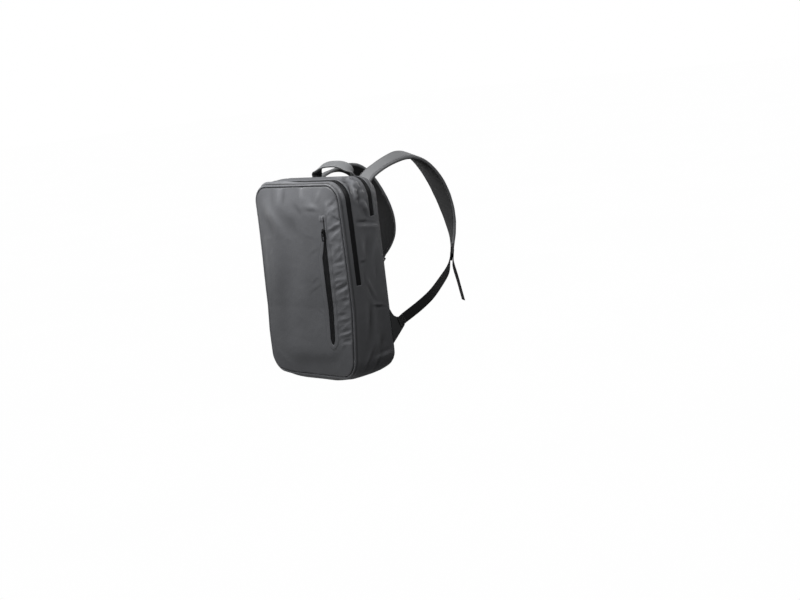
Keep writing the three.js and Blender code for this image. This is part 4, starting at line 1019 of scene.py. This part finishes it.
def make_back_pad():
    pad = make_pad_blank()
    remesh = pad.modifiers.new("remesh", "REMESH")
    remesh.mode = "VOXEL"
    remesh.voxel_size = VOXEL * MM
    applied(pad)
    flat = in_pack(blow_out(pad))
    quilt = QUILT_DEPTH * hump(from_pad_rim(flat), QUILT_INSET, QUILT_WIDTH)
    quilt *= smooth_step(*QUILT_FROM, flat[:, 1])
    flat[:, 1] = np.clip(flat[:, 1], BACK_START, BACK_START + BACK_PAD) - quilt
    pad.data.vertices.foreach_set("co", placed(flat).ravel())
    round_off = pad.modifiers.new("round_off", "SUBSURF")
    round_off.levels = round_off.render_levels = 1
    applied(pad)
    pad.data.materials.clear()
    pad.data.materials.append(dark_mesh)
    pad.data.materials.append(grey_coating)
    bound = from_pad_rim(in_pack(vectors_of(pad.data.polygons, "center"))) < BINDING_WIDTH
    pad.data.polygons.foreach_set("material_index", bound.astype(np.int32))
    return pad


back_pad = make_back_pad()
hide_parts("back_panel")
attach(back_pad, "pack")


# Shoulder straps: shaped foam pads in grey woven cloth with air mesh on the inner side, sewn along both
# edges. Each is sewn flat to the back panel, arches over and narrows to a loop round its buckle.
LOOP_WIDTH = 26
SHOULDER_DROP = 24.0
STRAP_SECTIONS = [
    # x, y, z, width, thickness, tilt of the outer face from the pack's side over the top, turn out, and the
    # share of the left strap's drop
    (78, 125.6, 139, 44, 6, 0, 0, 0), (80, 126.8, 173, 44, 8, 2, 0, 0), (84, 131, 199, 44, 9, 20, 0, 0.1),
    (89.5, 146, 219, 45, 9, 50, 3, 0.3), (98, 176, 236, 43, 9, 62, 8, 0.65),
    (104, 212, 248, 46, 9, 74, 13, 0.95),
    (106, 247, 253, 52, 9, 88, 16, 1), (106, 278, 248, 58, 9, 106, 16, 1), (106, 305, 233, 62, 9, 124, 13, 1),
    (107, 329, 209, 62, 9, 138, 9, 1), (107, 351, 179, 61, 9, 149, 6, 1), (106, 370, 143, 58, 9, 160, 5, 1),
    (107, 382, 105, 53, 9, 171, 9, 1), (111, 385, 69, 45, 9, 180, 18, 1), (118, 379, 41, 35, 9, 186, 30, 1),
    (124, 369, 21, LOOP_WIDTH, 8, 190, 38, 1), (129, 360, 8, LOOP_WIDTH, 8, 192, 44, 1),
]
SIDES = (("right", 0.0, 1), ("left", SHOULDER_DROP, -1))
STRAP_STEPS = 8
STRAP_EDGE, STRAP_CROWN, FACE_SHARES = 4.0, 0.35, (0.4, 0.72)
EDGE_TURNS = np.radians((25, 50, 75, 90, 105, 130, 155))
# Shares of the rounding at either end, and how long it is at the root and at the loop
END_SHARES, ROOT_ROUND, LOOP_ROUND = (0.04, 0.3, 0.65), 2.5, 3.0
SEAM_FROM_EDGE, SEAM_SUNK, SEAM_HALF, GROOVE_WIDTH = 5.0, 0.7, 1.3, 0.8
STITCH_PITCH, STITCH_SIZE, STITCH_SUNK = 3.6, (2.7, 0.62, 0.5), 0.55
STITCHED = slice(3, -6)
# A band texture's scale times its pitch
BAND_SCALE = 0.314
YARN_CONTRAST, WEAVE_GLOSS = 0.35, (0.55, 0.72)
# The shortest gap between points of a line, and the step to either side that gives the line's way
LEAST_GAP, WAY_STEP = 1e-4, 1e-3


def woven_cloth(name, dark, light, pitch):
    """Close plain weave in two greys, rounded by its yarns, with slight wear."""
    finish, tree = new_finish(name)
    yarns = weave(tree, BAND_SCALE / pitch, BAND_SCALE / pitch, distortion=0.6)
    mottle = speckle(tree, scale=30.0, detail=5.0)
    tone = add_node(
        tree, "ShaderNodeMath", {0: yarns, 1: YARN_CONTRAST, 2: mottle}, operation="MULTIPLY_ADD")
    shade = two_tone(tree, tone.outputs[0], dark, light)
    gloss = spread(tree, mottle, MOST_NOISE, WEAVE_GLOSS)
    return painted(finish, shade, gloss, bumped(tree, yarns, strength=0.35, distance=0.0002), sheen=0.15)


strap_weave = woven_cloth(
    "grey_strap_weave", dark=(0.195, 0.199, 0.206), light=(0.262, 0.267, 0.275), pitch=0.0009)
grey_thread = woven_cloth("grey_thread", dark=(0.26, 0.265, 0.27), light=(0.36, 0.365, 0.37), pitch=0.0004)


def smooth_line(points, share):
    """A centripetal curve through points, at a share counted in points; its ends run straight on."""
    bay = min(int(share), len(points) - 2)
    rest = share - bay
    first = points[bay - 1] if bay else 2 * points[0] - points[1]
    last = points[bay + 2] if bay + 2 < len(points) else 2 * points[-1] - points[-2]
    four = [first, points[bay], points[bay + 1], last]
    runs = [b - a for a, b in zip(four, four[1:])]
    gaps = [max(LEAST_GAP, np.linalg.norm(run) ** 0.5) for run in runs]
    leave = (runs[0] / gaps[0] - (four[2] - four[0]) / (gaps[0] + gaps[1]) + runs[1] / gaps[1]) * gaps[1]
    arrive = (runs[1] / gaps[1] - (four[3] - four[1]) / (gaps[1] + gaps[2]) + runs[2] / gaps[2]) * gaps[1]
    bend = rest ** 2 * (3 * runs[1] - 2 * leave - arrive) + rest ** 3 * (leave + arrive - 2 * runs[1])
    return four[1] + rest * leave + bend


def way_along(points, share):
    before, after = max(0, share - WAY_STEP), min(len(points) - 1, share + WAY_STEP)
    run = smooth_line(points, after) - smooth_line(points, before)
    return run / np.linalg.norm(run)


def outer_way(tilt, turn):
    tilt, turn = math.radians(tilt), math.radians(turn)
    return np.array((math.sin(turn), -math.cos(tilt) * math.cos(turn), math.sin(tilt) * math.cos(turn)))


def square_to(way, along):
    way = way - along * (way @ along)
    return way / np.linalg.norm(way)


def strap_stations(drop, steps):
    """Stations down a right strap, lower by a drop: point, along, out, across, width, thickness."""
    table = np.array(STRAP_SECTIONS, float)
    line = table[:, :3] - np.outer(table[:, 7], (0, 0, drop))
    stations = []
    for share in np.linspace(0, len(table) - 1, (len(table) - 1) * steps + 1):
        width, thick, tilt, turn = (np.interp(share, range(len(table)), table[:, k]) for k in (3, 4, 5, 6))
        along = way_along(line, share)
        out = square_to(outer_way(tilt, turn), along)
        stations.append((smooth_line(line, share), along, out, np.cross(along, out), width, thick))
    return stations


def pad_section(width, thick):
    """A padded strap's section as (across, out): its outer face, an edge, its inner face, the other edge."""
    half, level = width / 2, thick / 2 - STRAP_CROWN
    seam, face_end = half - SEAM_FROM_EDGE, half - STRAP_EDGE
    shares = [seam * share for share in FACE_SHARES]
    face = both_ways([0.0, *shares, seam - SEAM_HALF, seam, seam + SEAM_HALF, face_end])
    crown = level + STRAP_CROWN * (1 - (face / half) ** 2)
    outer = list(zip(face, crown - SEAM_SUNK * hump(np.abs(face), seam, GROOVE_WIDTH)))
    right_edge = [(face_end + STRAP_EDGE * math.sin(turn), level * math.cos(turn)) for turn in EDGE_TURNS]
    inner = list(zip(-face, -crown))
    left_edge = [(-across, -out) for across, out in right_edge]
    return outer, right_edge, inner, left_edge


def close_ends(form):
    bmesh.ops.holes_fill(form, edges=[edge for edge in form.edges if edge.is_boundary])
    turn_outwards(form)


def swept(name, rows, hand, finish, lining=None, lined=slice(0)):
    """A closed band through rows of (point, way across, way out, ring of places across and out), mirrored
    where hand is -1. The ring's lined stretch has another finish, the lining."""
    rings, flats, travel = [], [], 0.0
    before = rows[0][0]
    for point, wide, out, ring in rows:
        travel += np.linalg.norm(point - before)
        before = point
        ring = ring + ring[:1]
        rings.append([point + wide * across + out * lift for across, lift in ring])
        flats.append([(across, travel) for across, _ in ring])
    points = placed(np.array(rings) * (hand, 1, 1))
    band = cloth_from_grid(name, points, np.array(flats) * MM, finish)
    if lining:
        band.data.materials.append(lining)
        inner = np.zeros((points.shape[0] - 1, points.shape[1] - 1), np.int32)
        inner[:, lined] = 1
        band.data.polygons.foreach_set("material_index", inner.ravel())
    reformed(band.data, close_ends)
    return band


def make_strap(side, drop, hand):
    stations = strap_stations(drop, STRAP_STEPS)
    first, last = stations[0], stations[-1]
    ends = [(share, math.sqrt(1 - (1 - share) ** 2)) for share in END_SHARES]
    places = [(first[0] + first[1] * share * ROOT_ROUND, first, full) for share, full in ends]
    places += [(station[0], station, 1.0) for station in stations[1:-1]]
    places += [(last[0] - last[1] * share * LOOP_ROUND, last, full) for share, full in reversed(ends)]
    rows = []
    for point, (_, _, out, wide, width, thick), full in places:
        outer, edge, inner, other_edge = pad_section(width, thick)
        ring = [(across, lift * full) for across, lift in outer + edge + inner + other_edge]
        rows.append((point, wide, out, ring))
    inner_start = len(outer) + len(edge)
    lined = slice(inner_start - 1, inner_start + len(inner))
    strap = swept(f"shoulder_strap_{side}_pad", rows, hand, strap_weave, dark_mesh, lined)
    lines = []
    for sign in (-1, 1):
        run = [point + wide * sign * (width / 2 - SEAM_FROM_EDGE) + out * (thick / 2 - STITCH_SUNK)
               for point, _, out, wide, width, thick in stations[STITCHED]]
        ways = [station[2] for station in stations[STITCHED]]
        lines.append((placed(np.array(run) * (hand, 1, 1)), np.array(ways) * (hand, 1, 1)))
    stitches = forms_on_lines(
        f"shoulder_strap_{side}_stitches", lines, STITCH_PITCH, STITCH_SIZE, grey_thread)
    return strap, stitches


for side, drop, hand in SIDES:
    strap, stitches = make_strap(side, drop, hand)
    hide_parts("shoulder_strap_" + side)
    for piece in (strap, stitches):
        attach(piece, "pack")


# Ladder locks: moulded black buckles with three bars. A strap's loop holds the top bar and the webbing turns
# round the middle one, so pulling the tail shortens the strap.
LOCK_BEVEL = 0.6
buckle_plastic = black_coating("black_buckle_plastic", tone=(0.014, 0.014, 0.015), roughness=0.42)
for side, _, _ in SIDES:
    paint_node("ladder_lock_" + side, buckle_plastic, LOCK_BEVEL)


# Webbing: 25 mm woven tape. Its tail hangs down the buckle's face, it turns round the middle bar, and it runs
# back in a curve to the wing, where it is sewn.
WEBBING_WIDTH, WEBBING_THICK, WEBBING_TAIL = 25.0, 1.8, 95.0
WEBBING_SHARES, WEBBING_STEPS = np.linspace(-1, 1, 13), 8
EDGE_THIN, EDGE_POWER = 0.35, 8
TAIL_FALL, TAIL_BEYOND, TAIL_LIFT = np.array((0.1, 0.12, -0.97)), 14, 1
LOCK_LENGTH, LOCK_THICK, LOOP_SETBACK = 33.0, 4.0, 11.0
MIDDLE_BAR = (16.0, 20.0)
WEBBING_PLAY, BAR_BEND = 0.45, 0.72
# How much wider its rows of yarn are than its ribs, the shades of its fibres, and its roughness
ROW_WIDER, FIBRE_SHADES, WEBBING_GLOSS = 1.6, (0.6, 2.4), (0.62, 0.85)
RIB_SECTIONS = [
    # x, y, z, tilt, turn, share of the left side's drop
    (149, 318, -30, 188, 60, 0.8), (159, 276, -53, 184, 74, 0.6), (163, 234, -76, 180, 84, 0.4),
    (159, 196, -94, 180, 94, 0.2), (152, 168, -107, 180, 97, 0.06), (148, 151, -114.5, 180, 93, 0),
    (147.6, 134, -122, 180, 90, 0),
]


def ribbed_webbing(name, tone, pitch):
    """Dense woven tape: fine ribs across it, rows of yarn along it, and paler worn fibres."""
    finish, tree = new_finish(name)
    ribs = weave(tree, BAND_SCALE / (ROW_WIDER * pitch), BAND_SCALE / pitch, distortion=0.4)
    fluff = speckle(tree, scale=160.0, detail=5.0)
    worn = times(tree, ribs, fluff)
    shade = two_tone(tree, worn, *(np.multiply(tone, share) for share in FIBRE_SHADES))
    gloss = spread(tree, fluff, WHOLE_RANGE, WEBBING_GLOSS)
    return painted(finish, shade, gloss, bumped(tree, ribs, strength=0.6, distance=0.0004), sheen=0.2)


black_webbing = ribbed_webbing("black_webbing", tone=(0.026, 0.026, 0.028), pitch=0.0016)


def webbing_stations(drop):
    """Point, along, out and across at stations from the tail's end round the buckle's bar to the wing."""
    point, along, out, across, _, _ = strap_stations(drop, 1)[-1]
    corner = point - along * LOOP_SETBACK
    half = LOCK_THICK / 2
    clear = WEBBING_PLAY + WEBBING_THICK / 2
    level, bend = half + clear, BAR_BEND * clear
    start, end = MIDDLE_BAR
    around = [
        (LOCK_LENGTH + TAIL_BEYOND, level + TAIL_LIFT), (LOCK_LENGTH, level), (end, level), (start, level),
        (start - bend, half + bend), (start - clear, half), (start - clear, -half),
        (start - bend, -half - bend), (start, -level), (end, -level), (LOCK_LENGTH, -level),
    ]
    on_lock = [corner + along * down + out * lift for down, lift in around]
    tail = [on_lock[0] + TAIL_FALL * fall for fall in (WEBBING_TAIL, WEBBING_TAIL / 2)]
    table = np.array(RIB_SECTIONS, float)
    ribs = table[:, :3] - np.outer(table[:, 5], (0, 0, drop))
    points = np.array([*tail, *on_lock, *ribs])
    faces = [outer_way(row[3], row[4]) for row in table]
    stations = []
    for share in np.linspace(0, len(points) - 1, (len(points) - 1) * WEBBING_STEPS + 1):
        run = way_along(points, share)
        rib = share - len(tail) - len(on_lock)
        wide = across
        if rib >= -1:
            low = math.floor(rib)
            after = np.cross(run, faces[min(low + 1, len(faces) - 1)])
            ahead = across if low < 0 else np.cross(run, faces[low])
            wide = ahead + (after - ahead) * (rib - low)
        wide = square_to(wide, run)
        stations.append((smooth_line(points, share), run, np.cross(wide, run), wide))
    return stations


def make_webbing(side, drop, hand):
    half, level = WEBBING_WIDTH / 2, WEBBING_THICK / 2
    face = [(half * share, level * (1 - EDGE_THIN * abs(share) ** EDGE_POWER)) for share in WEBBING_SHARES]
    ring = face + [(-across, -lift) for across, lift in face]
    rows = [(point, wide, out, ring) for point, _, out, wide in webbing_stations(drop)]
    return swept(f"webbing_{side}_tape", rows, hand, black_webbing)


for side, drop, hand in SIDES:
    tape = make_webbing(side, drop, hand)
    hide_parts("webbing_" + side)
    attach(tape, "pack")


# Wings: small gussets of coated cloth caught in the back seam near the base, folded and hemmed, which spread
# the pull of the webbing. The webbing's end is box-stitched to each.
WING_UPPER = [(0, -85), (5, -95), (11, -102.5), (19, -107), (31, -108.5)]
WING_LOWER = [(0, -164), (24, -145), (42, -130)]
WING_SIDE = BAG_WIDTH / 2 - BACK_INSET + SEWN_GAP + CLOTH_WALL
WING_SUNK, WING_WALL = 0.35, CLOTH_WALL - 0.4
WING_ROWS, WING_COLUMNS, WING_EVENNESS = 26, 30, 0.5
HEM_WIDTH, HEM_SOFTNESS, HEM_RISE, HEM_ROLL, HEM_SHARE = 4.5, 0.6, 0.35, 0.5, 0.5
WING_RUMPLES, WING_LOOSE = [(0.35, 14.0, 8)], (0, 0.2)
BOX_FROM_END, BOX_LENGTH, BOX_INSET, BOX_LIFT = 3.0, 16.0, 3.0, 0.1
BOX_CORNERS = {"a": (0, -1), "b": (0, 1), "c": (1, 1), "d": (1, -1)}
BOX_POINTS, BOX_PITCH, BOX_STITCH = 12, 2.6, (2.0, 0.55, 0.45)

# The wings' cloth: the grey coated cloth painted darker, as painted shade where they lie under the pack
painted_shade_coating = coated_cloth(
    "painted_shade_coated_cloth", dark=(0.075, 0.077, 0.081), light=(0.105, 0.108, 0.113), roughness=(0.40, 0.55))


def along_outline(outline, shares):
    outline = np.array(outline, float)
    travel = np.hstack([0, np.cumsum(np.linalg.norm(np.diff(outline, axis=0), axis=1))])
    return np.stack([np.interp(shares * travel[-1], travel, outline[:, k]) for k in (0, 1)], -1)


def make_wing(side, hand):
    shares = np.linspace(0, 1, WING_ROWS)
    upper, lower = along_outline(WING_UPPER, shares), along_outline(WING_LOWER, shares)
    down = graded(WING_COLUMNS, WING_EVENNESS)
    spots = upper[:, None] + (lower - upper)[:, None] * down[None, :, None]
    reach, height = spots[..., 0], spots[..., 1]
    to_edge = np.minimum(down, 1 - down)[None, :] * np.linalg.norm(lower - upper, axis=1)[:, None]
    hem = HEM_RISE * (1 - smooth_step(HEM_WIDTH - HEM_SOFTNESS, HEM_WIDTH + HEM_SOFTNESS, to_edge))
    hem -= HEM_ROLL * np.exp(-to_edge / HEM_ROLL)
    flat = np.stack([reach, height, np.zeros_like(reach)], -1)
    soft = rumpled(flat, WING_RUMPLES) * smooth_step(*WING_LOOSE, down * (1 - down))[None, :]
    x = WING_SIDE - WING_SUNK + hem * HEM_SHARE + np.minimum(0.0, soft)
    points = np.stack([x, BACK_START + reach, height], -1) * (hand, 1, 1)
    if hand > 0:
        points, soft = points[:, ::-1], soft[:, ::-1]
    measure = points[..., 1:] * MM
    return cloth_from_grid(
        f"wing_{side}_cloth", placed(points), measure, painted_shade_coating, WING_WALL, crest=soft)


def box_stitches(side, hand):
    """A sewn box with a cross in it, where the webbing's end lies on the wing."""
    end, run, _, wide = webbing_stations(0.0)[-1]
    out = np.array((1.0, 0.0, 0.0))
    half = WEBBING_WIDTH / 2 - BOX_INSET
    corner = {}
    for name, (back, sideways) in BOX_CORNERS.items():
        corner[name] = end - run * (BOX_FROM_END + BOX_LENGTH * back) + wide * half * sideways
        corner[name] += out * (WEBBING_THICK / 2 + BOX_LIFT)
    lines = []
    for first, second in ("ab", "bc", "cd", "da", "ac", "bd"):
        points = np.linspace(corner[first], corner[second], BOX_POINTS)
        lines.append((placed(points * (hand, 1, 1)), np.tile(out * (hand, 1, 1), (len(points), 1))))
    return forms_on_lines(f"wing_{side}_box_stitches", lines, BOX_PITCH, BOX_STITCH, grey_thread)


for side, _, hand in SIDES:
    plate = make_wing(side, hand)
    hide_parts("wing_" + side)
    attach(plate, "pack")
    sewn = box_stitches(side, hand)
    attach(sewn, "pack")


# Grab handle: a band of the strap cloth that stands up in an arch from the top of the back panel, with its
# feet sewn flat, over a thin lining of dark air mesh. Rows of stitches run along both edges.
HANDLE_SPAN, HANDLE_FOOT, HANDLE_SPRING, HANDLE_CROWN = 61.0, 205.0, 214.0, 251.5
HANDLE_WIDTH, HANDLE_THICK, LINING_THICK = 24.0, 3.0, 1.6
HANDLE_DEPTH = BAG_DEPTH + BACK_PAD + 3 * SEWN_GAP + LINING_THICK
HANDLE_SQUARENESS, HANDLE_TWIST_POWER, HANDLE_TIP = 0.8, 10, math.radians(25)
HANDLE_STEPS, FOOT_STEPS, TANGENT_STEP = 96, 6, 0.01
BAND_SHARES = both_ways([0, 0.4, 0.68, 0.74, 0.78, 0.9, 0.97, 1])
BAND_EDGE_THIN, BAND_EDGE_POWER = 0.75, 14
BAND_SEAM, BAND_GROOVE, BAND_GROOVE_WIDTH, BAND_STITCH_SUNK = 0.74, 0.25, 0.03, 0.1


def arch(angle):
    """A point of the handle's squarish arch."""
    across, up = math.cos(angle), math.sin(angle)
    rise = HANDLE_CROWN - HANDLE_SPRING
    return np.array((
        HANDLE_SPAN * math.copysign(abs(across) ** HANDLE_SQUARENESS, across), HANDLE_DEPTH,
        HANDLE_SPRING + rise * max(0.0, up) ** HANDLE_SQUARENESS))


def handle_stations():
    """Point, across and out at stations round the arch, with a flat foot at either end."""
    stations = []
    for angle in np.linspace(0, math.pi, HANDLE_STEPS + 1):
        run = arch(min(math.pi, angle + TANGENT_STEP)) - arch(max(0.0, angle - TANGENT_STEP))
        run = run / np.linalg.norm(run)
        upright = abs(math.cos(angle)) ** HANDLE_TWIST_POWER
        twist = math.pi / 2 * upright - HANDLE_TIP * (1 - upright)
        wide = np.array(Matrix.Rotation(twist, 3, Vector(run)) @ Vector((0, 1, 0)))
        stations.append((arch(angle), wide, -np.cross(run, wide)))
    feet = []
    for point, wide, out in (stations[0], stations[-1]):
        heights = np.linspace(HANDLE_FOOT, point[2], FOOT_STEPS + 1)[:-1]
        feet.append([(np.array((point[0], point[1], height)), wide, out) for height in heights])
    return feet[0] + stations + feet[1][::-1]


handle_line = handle_stations()


def make_band(name, low, high, finish):
    """A band round the arch between two levels, with rounded edges and a groove along each seam."""
    middle, level = (low + high) / 2, (high - low) / 2
    out_from_middle = np.abs(BAND_SHARES)
    lift = level * (1 - BAND_EDGE_THIN * out_from_middle ** BAND_EDGE_POWER)
    lift = lift - BAND_GROOVE * hump(out_from_middle, BAND_SEAM, BAND_GROOVE_WIDTH)
    across = HANDLE_WIDTH / 2 * BAND_SHARES
    ring = [*zip(across, middle + lift), *zip(-across, middle - lift)]
    return swept(name, [(*station, ring) for station in handle_line], 1, finish)


handle_band = make_band("grab_handle_band", 0.0, HANDLE_THICK, strap_weave)
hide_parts("grab_handle")
lining_band = make_band("handle_lining_band", -LINING_THICK - SEWN_GAP, -SEWN_GAP, dark_mesh)
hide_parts("handle_lining")
handle_lines = []
for sign in (-1, 1):
    run = [point + wide * sign * BAND_SEAM * HANDLE_WIDTH / 2 + out * (HANDLE_THICK - BAND_STITCH_SUNK)
           for point, wide, out in handle_line]
    handle_lines.append((placed(run), np.array([out for _, _, out in handle_line])))
handle_stitches = forms_on_lines("grab_handle_stitches", handle_lines, STITCH_PITCH, STITCH_SIZE, grey_thread)
for piece in (handle_band, lining_band, handle_stitches):
    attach(piece, "pack")
